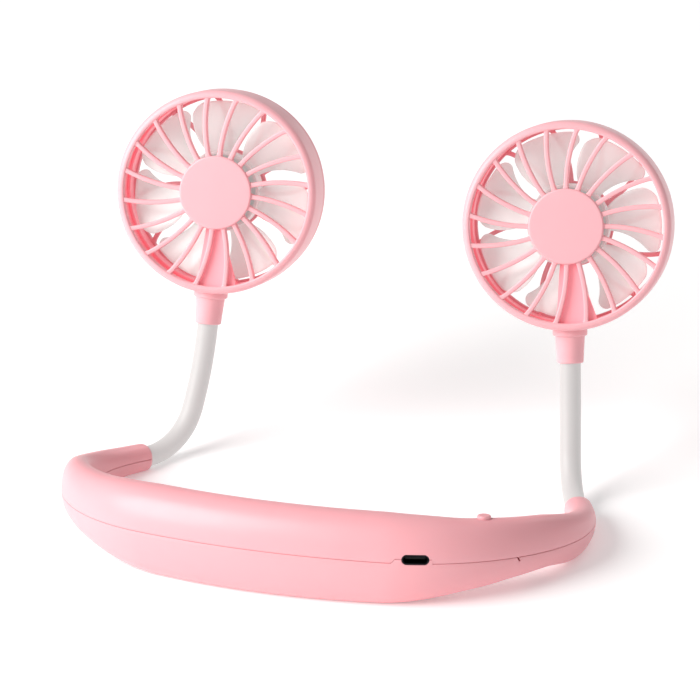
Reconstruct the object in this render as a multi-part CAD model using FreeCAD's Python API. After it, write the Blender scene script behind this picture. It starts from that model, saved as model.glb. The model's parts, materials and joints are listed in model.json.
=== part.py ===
import FreeCAD, Part
import math
import os

# An electric neck fan: a hollow C-shaped band that lies round the back of the neck, and two small
# caged fans on bendable necks that rise from the ends of the band.
# Millimetres and degrees. Every piece is drawn with the band's parting plane level: X to the wearer's
# right, Y forwards from the back of the band, Z up. The whole is then stood on a table, where it rests
# on the belly of the band and on its two noses.

# Band, outer seam line in plan: four tangent arcs on each side of the middle
BACK_RADIUS = 230.0
BACK_HEADING = 11.05
CORNER_RADIUS = 65.5
CORNER_HEADING = 66.5
ARM_RADIUS = 52.5
ARM_HEADING = 115.0
NOSE_RADIUS = 150.0
NOSE_HEADING = 119.0

# Band, its section from the middle of the back to a nose
STATIONS = (
    # heading, thickness, height above the seam, depth below the seam
    (0.0, 20.0, 14.5, 17.0),
    (5.5, 20.0, 14.5, 16.9),
    (11.0, 20.0, 14.5, 16.5),
    (20.0, 19.6, 14.1, 15.4),
    (28.0, 18.9, 13.6, 13.9),
    (37.0, 17.5, 12.8, 11.9),
    (45.0, 16.0, 12.4, 10.4),
    (53.0, 14.5, 11.9, 8.8),
    (66.5, 12.0, 10.9, 7.2),
    (74.0, 11.2, 9.9, 7.6),
    (81.5, 10.6, 8.7, 8.2),
    (90.0, 10.2, 7.4, 8.0),
    (100.0, 10.0, 6.2, 6.8),
    (110.0, 9.9, 5.3, 5.8),
    (115.0, 9.8, 5.0, 5.3),
    (NOSE_HEADING, 9.7, 4.7, 4.9),
)
SECTION_FULLNESS = 2.25
SECTION_POINTS = 16
NOSE_ROUND = 1.8
NOSE_ROUND_MARGIN = 0.25
WALL = 1.9
CAVITY_HEADING = 109.0
SEAM_GAP = 0.25
LIP_INSET = 0.95
LIP_HEIGHT = 1.4
LIP_CLEARANCE = 0.15
FOOT_HEADING = 117.5
FLAT_DEPTH = 0.5

# Pry notch under the seam
PRY_HEADING = 52.7
PRY_WIDTH = 0.5
PRY_TALL = 1.3
PRY_DEPTH = 0.7
PRY_SLANT = -35.0

# Shell screws and their bosses
SCREW_HEADINGS = (-64.0, -10.5, 10.5, 64.0)
SCREW_HEAD_RADIUS = 2.0
SCREW_HEAD_HEIGHT = 1.5
SCREW_SHANK_RADIUS = 1.0
SCREW_GRIP = 1.6
SCREW_BITE = 5.0
BOSS_WALL = 1.0
FIT = 0.1
DRIVE_WIDTH = 0.6
DRIVE_DEPTH = 0.7

# Charging socket in the outer face
PORT_HEADING = 21.3
PORT_HEIGHT = 1.45
PORT_WIDTH = 8.94
PORT_TALL = 3.16
PORT_DEPTH = 7.3
PORT_SHEET = 0.3
PORT_RECESS = 0.25
PORT_CLEARANCE = 0.2
PORT_TAB_BACK = 6.8
PORT_TAB_BACK_SLOPE = 1.3
PORT_TAB_FRONT = 5.6
TONGUE_WIDTH = 6.7
TONGUE_THICK = 0.7
TONGUE_LENGTH = 4.6
TONGUE_ROOT = 1.6

# Circuit board, level, under the charging socket
BOARD_THICK = 1.0
BOARD_BACK = 6.0
BOARD_FRONT = 26.5
BOARD_OUTER = 3.4
BOARD_OUTER_FRONT = 9.4
BOARD_INNER = 16.0

# Power button on the crest of the right corner, and the switch below it
BUTTON_HEADING = 45.0
BUTTON_INSET = 1.0
BUTTON_RADIUS = 2.4
BUTTON_PROUD = 1.1
BUTTON_TRAVEL = 0.5
BUTTON_ROUND = 0.5
BUTTON_FLANGE = 0.9
BUTTON_FLANGE_THICK = 0.8
BUTTON_STEM_RADIUS = 1.4
BUTTON_CLEARANCE = 0.2
SWITCH_SIDE = 6.0
SWITCH_HEIGHT = 3.4
PLUNGER_RADIUS = 1.7
PLUNGER_HEIGHT = 1.4
CONTACT_GAP = 0.1

# Battery cell across the back, and its foam pad
CELL_LENGTH = 60.0
CELL_THICK = 10.0
CELL_HEIGHT = 18.0
CELL_CENTRE_Z = -1.2
CELL_ROUND = 1.5
PAD_LENGTH = 40.0
PAD_HEIGHT = 12.0
PAD_THICK = 1.4

# Leads inside the band
LEAD_RADIUS = 0.55
FAN_LEAD_INSET = 3.1
FAN_LEAD_RISE = -0.8
BATTERY_LEAD_INSET = 14.2
LEAD_PITCH = 1.3

# Necks: bendable wire and two leads in a silicone sleeve
SLEEVE_RADIUS = 3.55
SLEEVE_BORE_RADIUS = 2.5
NECK_CLEARANCE = 0.3
CORE_RADIUS = 1.0
NECK_LEAD_RADIUS = 0.5
NECK_LEAD_OFFSET = 1.75
SLEEVE_TAIL = 8.0
CORE_TAIL = 12.0
BORE_TAIL = 17.5
ANCHOR_GAP = 0.3

# Rest pose of the necks and heads
STEM_FOOT_X = 69.3
STEM_FOOT_Y = 118.0
STEM_FOOT_Z = 44.8
LEAN_FORWARD = 8.2
SIDES = {
    # side: which way X goes, lean towards the middle, turn of the face towards +X
    "left": (-1.0, 2.5, 10.0),
    "right": (1.0, 4.8, 13.5),
}

# Fan head, drawn with its axis along Y, its front at -Y and its stem at -Z
HEAD_RADIUS = 36.5
HEAD_DEPTH = 19.5
HEAD_HEIGHT = 48.2
FRONT_SHARE_DEPTH = 14.4
HEAD_WALL = 1.3
FACE_ROUND = 2.0
FACE_BORE_RADIUS = 33.8
FACE_BORE_ROUND = 0.6
FACE_THICK = 2.6
DISC_RADIUS = 13.2
DISC_DOME = 0.9
DISC_EDGE = 0.7
SPOKES = 20
SPOKE_WIDTH = 1.6
SPOKE_DEPTH = 2.4
DISC_WALL = 1.2
SPOKE_SET_BACK = 0.3
SPOKE_SWEEP = 7.0
SPOKE_ROUND = 0.45
SPOKE_ROOT = 0.6
REAR_STEP = 0.35
REAR_GAP = 0.25
REAR_ROUND = 1.2
REAR_BORE_RADIUS = 33.2
REAR_SPOKES = 12
REAR_SPOKE_DEPTH = 2.0
REAR_SPOKE_SET_BACK = 0.5
REAR_SPOKE_SWEEP = -12.0
REAR_HUB_RADIUS = 15.0
SPIGOT_LENGTH = 3.4
SPIGOT_WALL = 1.0
WEB_INNER_LEFT = 2.1
WEB_INNER_RIGHT = 1.8
WEB_OUTER_LEFT = 4.1
WEB_OUTER_RIGHT = 11.0
WEB_COVER = 0.7
WEB_LAP = 0.3
DUCT_WIDTH = 2.9
CUP_WALL = 1.2
CUP_LENGTH = 6.6

# Stem collar between neck and head
COLLAR_FOOT_RADIUS = 4.65
COLLAR_TOP_RADIUS = 5.2
FLANGE_RADIUS = 6.1
FLANGE_HEIGHT = 2.2
FLANGE_ROUND = 0.6
COLLAR_PLUG_RADIUS = 4.2
COLLAR_PLUG_PROUD = 0.4
SOCKET_DEPTH = 7.2
SLEEVE_INSERT = 5.6
PIN_RADIUS = 2.7
RUNNING_FIT = 0.05
PIN_FLANGE_THICK = 1.2

# Impeller
BLADES = 7
BLADE_TIP_RADIUS = 32.4
BLADE_THICK = 1.0
BLADE_SPAN = 50.0
BLADE_RISE = 8.2
BLADE_CAMBER = 0.9
BLADE_CENTRE_Y = 0.6
BLADE_SECTIONS = 4
BLADE_ROOT_ANGLES = (-15.0, 16.0)
BLADE_BELLY_RADIUS = 22.0
BLADE_BELLY_ANGLE = 24.0
BLADE_SHOULDER_RADIUS = 29.0
BLADE_SHOULDER_ANGLE = 21.0
BLADE_CORNER_ANGLE = 12.0
BLADE_CORNER_BULGE = 0.6
BLADE_HORN_RADIUS = 28.5
BLADE_HORN_ANGLE = -25.0
BLADE_HORN_ROUND_ANGLE = -20.0
BLADE_WAIST_RADIUS = 21.0
BLADE_WAIST_ANGLE = -17.0
IMPELLER_TURNS = {"left": 95.0, "right": -97.0}
HUB_RADIUS = 14.4
HUB_WALL = 1.2
HUB_LENGTH = 9.0
HUB_ROUND = 1.5
HUB_BOSS_RADIUS = 3.0
HUB_BOSS_LENGTH = 2.6

# Motor
MOTOR_RADIUS = 8.0
MOTOR_LENGTH = 9.4
MOTOR_SHEET = 0.8
SHAFT_RADIUS = 1.0
SHAFT_PROUD = 4.3
SHAFT_COVER = 0.75
SHAFT_INSIDE = 8.6
BUSHING_RADIUS = 3.0
BUSHING_LENGTH = 2.4
BUSHING_PROUD = 0.8
MAGNET_THICK = 1.9
MAGNET_ARC = 120.0
MAGNET_LENGTH = 6.0
ARMATURE_RADIUS = 4.8
ARMATURE_SLOTS = 3
SLOT_WIDTH = 1.6
SLOT_DEPTH = 2.4
COMMUTATOR_RADIUS = 2.4
COMMUTATOR_LENGTH = 1.4
END_PLAY = 0.3
END_CAP_THICK = 1.5
MOTOR_LEAD_SPACING = 0.75
MOTOR_LEAD_BEND = 2.0

FRONT_Y = -HEAD_DEPTH / 2
REAR_Y = HEAD_DEPTH / 2
SPLIT_Y = FRONT_Y + FRONT_SHARE_DEPTH
SPOKE_Y = FRONT_Y + SPOKE_SET_BACK
SPOKE_BACK_Y = SPOKE_Y + SPOKE_DEPTH
DISC_FLOOR_Y = SPOKE_Y + DISC_WALL - DISC_EDGE
CUP_RADIUS = MOTOR_RADIUS + FIT + CUP_WALL
MOTOR_SEAT_Y = DISC_FLOOR_Y + FIT
MOTOR_NOSE_Y = MOTOR_SEAT_Y + MOTOR_LENGTH
HUB_REAR_Y = MOTOR_NOSE_Y + SHAFT_PROUD + SHAFT_COVER
COLLAR_TOP = -HEAD_RADIUS - FLANGE_HEIGHT
BIG = 400.0


def v(x, y, z):
    return FreeCAD.Vector(x, y, z)


UP = v(0, 0, 1)
FAN_AXIS = v(0, 1, 0)


def sin(angle):
    return math.sin(math.radians(angle))


def cos(angle):
    return math.cos(math.radians(angle))


# The band's path

def outer_point(heading):
    """Point of the outer seam line where the band runs at this heading."""
    turn = abs(heading)
    x, y, start = 0.0, 0.0, 0.0
    arcs = ((BACK_RADIUS, BACK_HEADING), (CORNER_RADIUS, CORNER_HEADING),
            (ARM_RADIUS, ARM_HEADING), (NOSE_RADIUS, NOSE_HEADING))
    for radius, end in arcs:
        stop = max(start, min(turn, end))
        x += radius * (sin(stop) - sin(start))
        y += radius * (cos(start) - cos(stop))
        start = end
    return v(math.copysign(x, heading), y, 0)


def inward(heading):
    return v(-sin(heading), cos(heading), 0)


def band_size(heading):
    """Thickness, height above and depth below the seam at a heading."""
    turn = abs(heading)
    for low, high in zip(STATIONS, STATIONS[1:]):
        if turn <= high[0]:
            break
    share = (turn - low[0]) / (high[0] - low[0])
    return [a + (b - a) * share for a, b in zip(low[1:], high[1:])]


def middle_point(heading):
    """Point on the seam plane halfway through the band's thickness."""
    return outer_point(heading) + inward(heading) * (band_size(heading)[0] / 2)


def band_frame(heading):
    """Placement on the outer seam line: x along the band, y inwards, z up."""
    return FreeCAD.Placement(outer_point(heading), FreeCAD.Rotation(UP, heading))


def in_band(shape, heading):
    shape.Placement = band_frame(heading).multiply(shape.Placement)
    return shape


def block(x0, x1, y0, y1, z0, z1):
    return Part.makeBox(x1 - x0, y1 - y0, z1 - z0, v(x0, y0, z0))


def post(radius, z0, z1, at):
    return Part.makeCylinder(radius, z1 - z0, v(at.x, at.y, z0), UP)


# The table that the fan stands on

def stand_placement():
    """Turns the fan forwards until the belly and both noses meet the table, and sets the table at Z 0."""
    thickness, _, belly = band_size(0)
    nose = band_size(FOOT_HEADING)[2]
    belly_y = thickness / 2
    tilt = math.degrees(math.atan2(belly - nose, middle_point(FOOT_HEADING).y - belly_y))
    touch = v(0, belly_y, FLAT_DEPTH - belly)
    turn = FreeCAD.Placement(v(0, 0, 0), FreeCAD.Rotation(v(1, 0, 0), -tilt))
    return turn.multiply(FreeCAD.Placement(touch * -1, FreeCAD.Rotation()))


STAND = stand_placement()


# Band shells

def section_wire(heading, inset):
    thickness, above, below = band_size(heading)
    centre = middle_point(heading)
    out = inward(heading) * -1
    points = []
    for k in range(SECTION_POINTS):
        angle = 360.0 * k / SECTION_POINTS
        height = above if sin(angle) > 0 else below
        reach = math.copysign(abs(cos(angle)) ** (2 / SECTION_FULLNESS), cos(angle))
        lift = math.copysign(abs(sin(angle)) ** (2 / SECTION_FULLNESS), sin(angle))
        points.append(centre + out * (reach * (thickness / 2 - inset)) + UP * (lift * (height - inset)))
    curve = Part.BSplineCurve()
    knots = [float(k) for k in range(SECTION_POINTS + 1)]
    curve.interpolate(Points=points, PeriodicFlag=True, Parameters=knots)
    return Part.Wire(curve.toShape())


def band_loft(inset, end_heading):
    turns = [row[0] for row in STATIONS if row[0] < end_heading] + [end_heading]
    headings = [-turn for turn in reversed(turns[1:])] + turns
    return Part.makeLoft([section_wire(heading, inset) for heading in headings], True, False)


def nose_trim(side):
    """Ring that rounds the rim of a nose, drawn about x and turned to the way the nose points."""
    outer = band_size(NOSE_HEADING)[0] / 2 + NOSE_ROUND_MARGIN
    inner = outer - NOSE_ROUND
    far = outer + NOSE_ROUND
    soft = v(NOSE_ROUND * (cos(45) - 1), inner + NOSE_ROUND * sin(45), 0)
    corners = [v(-NOSE_ROUND, outer, 0), v(-NOSE_ROUND, far, 0), v(NOSE_ROUND, far, 0),
               v(NOSE_ROUND, inner, 0), v(0, inner, 0)]
    edges = [Part.LineSegment(a, b).toShape() for a, b in zip(corners, corners[1:])]
    edges.append(Part.Arc(corners[-1], soft, corners[0]).toShape())
    ring = Part.Face(Part.Wire(edges)).revolve(v(0, 0, 0), v(1, 0, 0), 360)
    turn = FreeCAD.Rotation(v(1, 0, 0), nose_direction(side))
    ring.Placement = FreeCAD.Placement(nose_point(side), turn)
    return ring


def rounded_band():
    """The band's outer body with its two nose ends rounded."""
    return band_loft(0, NOSE_HEADING).cut([nose_trim(side) for side in SIDES])


def below_level(z):
    return block(-BIG, BIG, -BIG, BIG, z - BIG, z)


def below_seam(gap):
    """The space under the parting surface, which steps up to the middle of the charging socket."""
    space = below_level(gap)
    back = -PORT_TAB_BACK - gap
    front = PORT_TAB_FRONT + gap
    foot = back - PORT_TAB_BACK_SLOPE
    top = PORT_HEIGHT + gap
    points = [v(foot, -PORT_WIDTH, 0), v(foot, -PORT_WIDTH, -PORT_TALL), v(front, -PORT_WIDTH, -PORT_TALL),
              v(front, -PORT_WIDTH, top), v(back, -PORT_WIDTH, top)]
    tab = Part.Face(Part.makePolygon(points + points[:1])).extrude(v(0, PORT_WIDTH + WALL + gap, 0))
    return space.fuse(in_band(tab, PORT_HEADING))


def stadium(width, tall, y0, y1):
    """Bar with round ends, lying along y, centred on the charging socket."""
    radius = tall / 2
    half = width / 2 - radius
    top = PORT_HEIGHT + radius
    bottom = PORT_HEIGHT - radius
    edges = [
        Part.LineSegment(v(-half, y0, top), v(half, y0, top)).toShape(),
        Part.Arc(v(half, y0, top), v(half + radius, y0, PORT_HEIGHT), v(half, y0, bottom)).toShape(),
        Part.LineSegment(v(half, y0, bottom), v(-half, y0, bottom)).toShape(),
        Part.Arc(v(-half, y0, bottom), v(-half - radius, y0, PORT_HEIGHT), v(-half, y0, top)).toShape(),
    ]
    return Part.Face(Part.Wire(edges)).extrude(v(0, y1 - y0, 0))


def port_hole():
    """Mouth of the charging socket, through the outer walls of both shells."""
    wide = PORT_WIDTH + 2 * PORT_CLEARANCE
    tall = PORT_TALL + 2 * PORT_CLEARANCE
    return in_band(stadium(wide, tall, -PORT_WIDTH, PORT_DEPTH), PORT_HEADING)


def screw_seat(heading):
    """Height of the face that a screw's head bears on, in the lower shell."""
    below = band_size(heading)[2]
    return -min(below - WALL - SCREW_HEAD_HEIGHT, SCREW_GRIP + SCREW_HEAD_HEIGHT + WALL)


def boss_radius():
    return SCREW_HEAD_RADIUS + FIT + BOSS_WALL


def button_axis():
    return middle_point(BUTTON_HEADING) + inward(BUTTON_HEADING) * BUTTON_INSET


def button_seat():
    """Height of the inside of the shell at the button."""
    return band_size(BUTTON_HEADING)[1] - WALL


def neck_bores():
    return [tube(neck_path(side, BORE_TAIL, 0), SLEEVE_RADIUS + NECK_CLEARANCE) for side in SIDES]


def band_upper_shell(body, cavity):
    shell = body.cut(below_seam(SEAM_GAP)).cut(cavity)
    rebate = band_loft(LIP_INSET, CAVITY_HEADING)
    shell = shell.cut(rebate.common(below_level(LIP_HEIGHT + LIP_CLEARANCE)))
    for heading in SCREW_HEADINGS:
        at = middle_point(heading)
        top = band_size(heading)[1]
        boss = post(SCREW_SHANK_RADIUS + BOSS_WALL, SEAM_GAP, top, at).common(body)
        shell = shell.fuse(boss)
        shell = shell.cut(post(SCREW_SHANK_RADIUS + FIT, 0, SCREW_BITE + FIT, at))
    shell = shell.cut(post(BUTTON_RADIUS + BUTTON_CLEARANCE, 0, BIG, button_axis()))
    room = BUTTON_RADIUS + BUTTON_FLANGE + BUTTON_CLEARANCE
    shell = shell.cut(post(room, 0, button_seat(), button_axis()))
    return shell.cut([port_hole()] + neck_bores())


def pry_notch():
    """Small slanted slot in the outer edge of the lower shell."""
    slot = block(-PRY_WIDTH / 2, PRY_WIDTH / 2, -PRY_DEPTH, PRY_DEPTH, -PRY_TALL, PRY_TALL)
    slot.Placement = FreeCAD.Placement(v(0, 0, 0), FreeCAD.Rotation(FAN_AXIS, PRY_SLANT))
    return in_band(slot, PRY_HEADING)


def band_lower_shell(body, cavity):
    shell = body.common(below_seam(0)).cut(cavity)
    lip = band_loft(LIP_INSET + LIP_CLEARANCE, CAVITY_HEADING).cut(cavity)
    slab = block(-BIG, BIG, -BIG, BIG, -WALL, LIP_HEIGHT)
    shell = shell.fuse(lip.common(slab))
    for heading in SCREW_HEADINGS:
        at = middle_point(heading)
        seat = screw_seat(heading)
        boss = post(boss_radius(), -band_size(heading)[2], seat + SCREW_GRIP, at).common(body)
        shell = shell.fuse(boss)
        shell = shell.cut(post(SCREW_SHANK_RADIUS + FIT, seat, seat + BIG, at))
        shell = shell.cut(post(SCREW_HEAD_RADIUS + FIT, -BIG, seat, at))
    table = below_level(0)
    table.Placement = STAND.inverse().multiply(table.Placement)
    return shell.cut([port_hole(), table, pry_notch()] + neck_bores())


def shell_screws():
    screws = []
    for heading in SCREW_HEADINGS:
        at = middle_point(heading)
        seat = screw_seat(heading)
        head = post(SCREW_HEAD_RADIUS, seat - SCREW_HEAD_HEIGHT, seat, at)
        reach = SCREW_HEAD_RADIUS
        for turn in (0, 90):
            slot = block(-reach, reach, -DRIVE_WIDTH / 2, DRIVE_WIDTH / 2, 0, DRIVE_DEPTH)
            under = at + UP * (seat - SCREW_HEAD_HEIGHT)
            slot.Placement = FreeCAD.Placement(under, FreeCAD.Rotation(UP, turn))
            head = head.cut(slot)
        screws.append(head.fuse(post(SCREW_SHANK_RADIUS, seat, SCREW_BITE, at)))
    return Part.makeCompound(screws)


# Pieces inside the band

def usb_socket_shell():
    rear = PORT_RECESS + PORT_DEPTH
    outer = stadium(PORT_WIDTH, PORT_TALL, PORT_RECESS, rear)
    inner = stadium(PORT_WIDTH - 2 * PORT_SHEET, PORT_TALL - 2 * PORT_SHEET, 0, rear - PORT_SHEET)
    return in_band(outer.cut(inner), PORT_HEADING)


def usb_socket_tongue():
    rear = PORT_RECESS + PORT_DEPTH - PORT_SHEET
    half_thick = TONGUE_THICK / 2
    blade = block(-TONGUE_WIDTH / 2, TONGUE_WIDTH / 2, rear - TONGUE_LENGTH, rear,
                  PORT_HEIGHT - half_thick, PORT_HEIGHT + half_thick)
    inner_wide = PORT_WIDTH - 2 * PORT_SHEET - 2 * FIT
    inner_tall = PORT_TALL - 2 * PORT_SHEET - 2 * FIT
    root = stadium(inner_wide, inner_tall, rear - TONGUE_ROOT, rear)
    return in_band(blade.fuse(root), PORT_HEADING)


def board_top():
    return PORT_HEIGHT - PORT_TALL / 2 - FIT


def control_board():
    corners = [(-BOARD_BACK, BOARD_OUTER), (PORT_WIDTH / 2 + PORT_TALL, BOARD_OUTER),
               (BOARD_FRONT, BOARD_OUTER_FRONT), (BOARD_FRONT, BOARD_INNER), (-BOARD_BACK, BOARD_INNER)]
    base = board_top() - BOARD_THICK
    points = [v(x, y, base) for x, y in corners]
    outline = Part.makePolygon(points + points[:1])
    return in_band(Part.Face(outline).extrude(UP * BOARD_THICK), PORT_HEADING)


def switch_top():
    return board_top() + SWITCH_HEIGHT


def switch_body():
    half = SWITCH_SIDE / 2
    body = block(-half, half, -half, half, board_top(), switch_top())
    floor = board_top() + BOARD_THICK
    body = body.cut(post(PLUNGER_RADIUS + FIT, floor, switch_top() + FIT, v(0, 0, 0)))
    body.Placement = FreeCAD.Placement(button_axis(), FreeCAD.Rotation(UP, PORT_HEADING))
    return body


def switch_plunger():
    foot = board_top() + BOARD_THICK + BUTTON_TRAVEL + FIT
    return post(PLUNGER_RADIUS, foot, switch_top() + PLUNGER_HEIGHT, button_axis())


def power_button():
    at = button_axis()
    top = band_size(BUTTON_HEADING)[1] + BUTTON_PROUD
    seat = button_seat() - CONTACT_GAP
    cap = post(BUTTON_RADIUS, seat - BUTTON_FLANGE_THICK, top, at)
    rim = [edge for edge in cap.Edges if edge.BoundBox.ZMin > top - CONTACT_GAP]
    cap = cap.makeFillet(BUTTON_ROUND, rim)
    flange = post(BUTTON_RADIUS + BUTTON_FLANGE, seat - BUTTON_FLANGE_THICK, seat, at)
    stem = post(BUTTON_STEM_RADIUS, switch_top() + PLUNGER_HEIGHT, seat, at)
    return cap.fuse([flange, stem])


def cell_centre_y():
    """The straight cell lies halfway between the band's middle line at its centre and at its ends."""
    sag = BACK_RADIUS - math.sqrt(BACK_RADIUS ** 2 - (CELL_LENGTH / 2) ** 2)
    return (band_size(0)[0] + sag) / 2


def battery_cell():
    half = CELL_LENGTH / 2
    y = cell_centre_y()
    cell = block(-half, half, y - CELL_THICK / 2, y + CELL_THICK / 2,
                 CELL_CENTRE_Z - CELL_HEIGHT / 2, CELL_CENTRE_Z + CELL_HEIGHT / 2)
    long_edges = [edge for edge in cell.Edges if edge.BoundBox.XLength > CELL_THICK]
    return cell.makeFillet(CELL_ROUND, long_edges)


def battery_pad():
    face = cell_centre_y() + CELL_THICK / 2
    return block(-PAD_LENGTH / 2, PAD_LENGTH / 2, face, face + PAD_THICK,
                 CELL_CENTRE_Z - PAD_HEIGHT / 2, CELL_CENTRE_Z + PAD_HEIGHT / 2)


def plan_arc(inset, start, end, z):
    """Edges that follow the band between two headings, at an inset from the outer seam line."""
    stops = [start]
    for limit in (-CORNER_HEADING, -BACK_HEADING, BACK_HEADING, CORNER_HEADING, ARM_HEADING):
        if start < limit < end:
            stops.append(limit)
    stops.append(end)
    edges = []
    for low, high in zip(stops, stops[1:]):
        points = [outer_point(h) + inward(h) * inset + UP * z for h in (low, (low + high) / 2, high)]
        edges.append(Part.Arc(*points).toShape())
    return edges


def tube(edges, radius):
    """Round bar along a chain of tangent edges."""
    first = edges[0]
    start = first.valueAt(first.FirstParameter)
    along = first.tangentAt(first.FirstParameter)
    profile = Part.Wire(Part.makeCircle(radius, start, along))
    return Part.Wire(edges).makePipeShell([profile], True, False)


def band_leads(inset, start, end, z):
    levels = (z, z + LEAD_PITCH)
    return Part.makeCompound([tube(plan_arc(inset, start, end, level), LEAD_RADIUS) for level in levels])


def heading_past(distance, radius):
    """Turn of an arc of this radius that carries it this far along its first direction."""
    return math.degrees(math.asin(distance / radius))


def battery_leads():
    """Pair of leads from the end of the cell to the top of the board."""
    start = heading_past(CELL_LENGTH / 2 + LEAD_RADIUS, BACK_RADIUS - BATTERY_LEAD_INSET)
    over_board = heading_past(BOARD_BACK - LEAD_PITCH, CORNER_RADIUS - BATTERY_LEAD_INSET)
    return band_leads(BATTERY_LEAD_INSET, start, PORT_HEADING - over_board, board_top() + LEAD_RADIUS + FIT)


def fan_leads(side):
    """Pair of leads from the board along the outer wall to a nose."""
    if side == "left":
        return band_leads(FAN_LEAD_INSET, -CAVITY_HEADING, BACK_HEADING, FAN_LEAD_RISE)
    start = PORT_HEADING + heading_past(BOARD_FRONT + LEAD_RADIUS, CORNER_RADIUS - FAN_LEAD_INSET)
    return band_leads(FAN_LEAD_INSET, start, CAVITY_HEADING, FAN_LEAD_RISE)


# Necks

def nose_point(side):
    sign = SIDES[side][0]
    above, below = band_size(NOSE_HEADING)[1:]
    return middle_point(sign * NOSE_HEADING) + UP * ((above - below) / 2)


def nose_direction(side):
    """Way that the band runs on past its nose."""
    sign = SIDES[side][0]
    heading = sign * NOSE_HEADING
    return v(cos(heading), sin(heading), 0) * sign


def stem_foot(side):
    return v(SIDES[side][0] * STEM_FOOT_X, STEM_FOOT_Y, STEM_FOOT_Z)


def stem_direction(side):
    sign, lean = SIDES[side][:2]
    way = v(-sign * math.tan(math.radians(lean)), math.tan(math.radians(LEAN_FORWARD)), 1)
    return way.normalize()


def arc_edge(start, way, end):
    """Arc that leaves start along way and reaches end."""
    chord = end - start
    side = chord - way * chord.dot(way)
    side.normalize()
    half_turn = math.atan2(chord.dot(side), chord.dot(way))
    radius = chord.Length / (2 * math.sin(half_turn))
    middle = start + way * (radius * math.sin(half_turn)) + side * (radius * (1 - math.cos(half_turn)))
    return Part.Arc(start, middle, end).toShape()


def neck_joint(side):
    """Point where the two arcs of a neck meet, from its ends and their directions."""
    start, way = nose_point(side), nose_direction(side)
    end, finish = stem_foot(side), stem_direction(side)
    span = end - start
    both = way + finish
    a = both.dot(both) - 4
    b = -2 * span.dot(both)
    reach = (-b - math.sqrt(b * b - 4 * a * span.dot(span))) / (2 * a)
    return (start + end + (way - finish) * reach) / 2


def neck_side_way(side):
    return nose_direction(side).cross(stem_direction(side)).normalize()


def neck_path(side, tail, rise, shift=0.0):
    """Chain of edges from inside the nose, up the two arcs of the neck, to a rise above the stem's foot."""
    sign = SIDES[side][0]
    move = neck_side_way(side) * shift
    start, joint, end = nose_point(side), neck_joint(side), stem_foot(side)
    finish = stem_direction(side)
    thickness = band_size(NOSE_HEADING)[0]
    radius = NOSE_RADIUS - thickness / 2
    turn = math.degrees(tail / radius)
    centre = start + inward(sign * NOSE_HEADING) * radius
    back = []
    for angle in (turn, turn / 2, 0):
        back.append(centre - inward(sign * (NOSE_HEADING - angle)) * radius)
    lower = arc_edge(start, nose_direction(side), joint)
    upper_start = lower.tangentAt(lower.LastParameter)
    edges = [Part.Arc(*back).toShape(), lower, arc_edge(joint, upper_start, end)]
    if rise > 0:
        edges.append(Part.LineSegment(end, end + finish * rise).toShape())
    for edge in edges:
        edge.translate(move)
    return edges


def core_top():
    """Height of the inside of the drum above the stem's foot."""
    return HEAD_HEIGHT - HEAD_RADIUS + HEAD_WALL


def neck_sleeve(side):
    path = neck_path(side, SLEEVE_TAIL, SLEEVE_INSERT)
    return tube(path, SLEEVE_RADIUS).cut(tube(path, SLEEVE_BORE_RADIUS))


def neck_core(side):
    return tube(neck_path(side, CORE_TAIL, core_top()), CORE_RADIUS)


def neck_leads(side):
    leads = []
    for shift in (-NECK_LEAD_OFFSET, NECK_LEAD_OFFSET):
        leads.append(tube(neck_path(side, CORE_TAIL, core_top(), shift), NECK_LEAD_RADIUS))
    return Part.makeCompound(leads)


def neck_anchor(side):
    """Plug that grips the bendable wire inside the nose, behind the end of the sleeve."""
    long_tail = neck_path(side, CORE_TAIL, 0)[:1]
    short_tail = neck_path(side, SLEEVE_TAIL + ANCHOR_GAP, 0)[:1]
    plug = tube(long_tail, SLEEVE_RADIUS).cut(tube(short_tail, SLEEVE_RADIUS + NECK_CLEARANCE))
    holes = [tube(neck_path(side, BORE_TAIL, 0)[:1], CORE_RADIUS + RUNNING_FIT)]
    for shift in (-NECK_LEAD_OFFSET, NECK_LEAD_OFFSET):
        holes.append(tube(neck_path(side, BORE_TAIL, 0, shift)[:1], NECK_LEAD_RADIUS + RUNNING_FIT))
    return plug.cut(holes)


# Fan heads, in their own frame

def head_frame(side):
    """Placement of a head at the photographed lean and turn."""
    up = stem_direction(side)
    turn = SIDES[side][2]
    face = v(sin(turn), -cos(turn), 0)
    rear = (up * face.dot(up) - face).normalize()
    right = rear.cross(up)
    centre = stem_foot(side) + up * HEAD_HEIGHT
    matrix = FreeCAD.Matrix(right.x, rear.x, up.x, centre.x,
                            right.y, rear.y, up.y, centre.y,
                            right.z, rear.z, up.z, centre.z)
    return FreeCAD.Placement(matrix)


def in_head(shape, side):
    shape.Placement = head_frame(side).multiply(shape.Placement)
    return shape


def drum(radius, y0, y1):
    return Part.makeCylinder(radius, y1 - y0, v(0, y0, 0), FAN_AXIS)


def turned(edges):
    """Solid of revolution about the fan's axis, from a closed outline in radius and y."""
    return Part.Face(Part.Wire(edges)).revolve(v(0, 0, 0), FAN_AXIS, 360)


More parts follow.
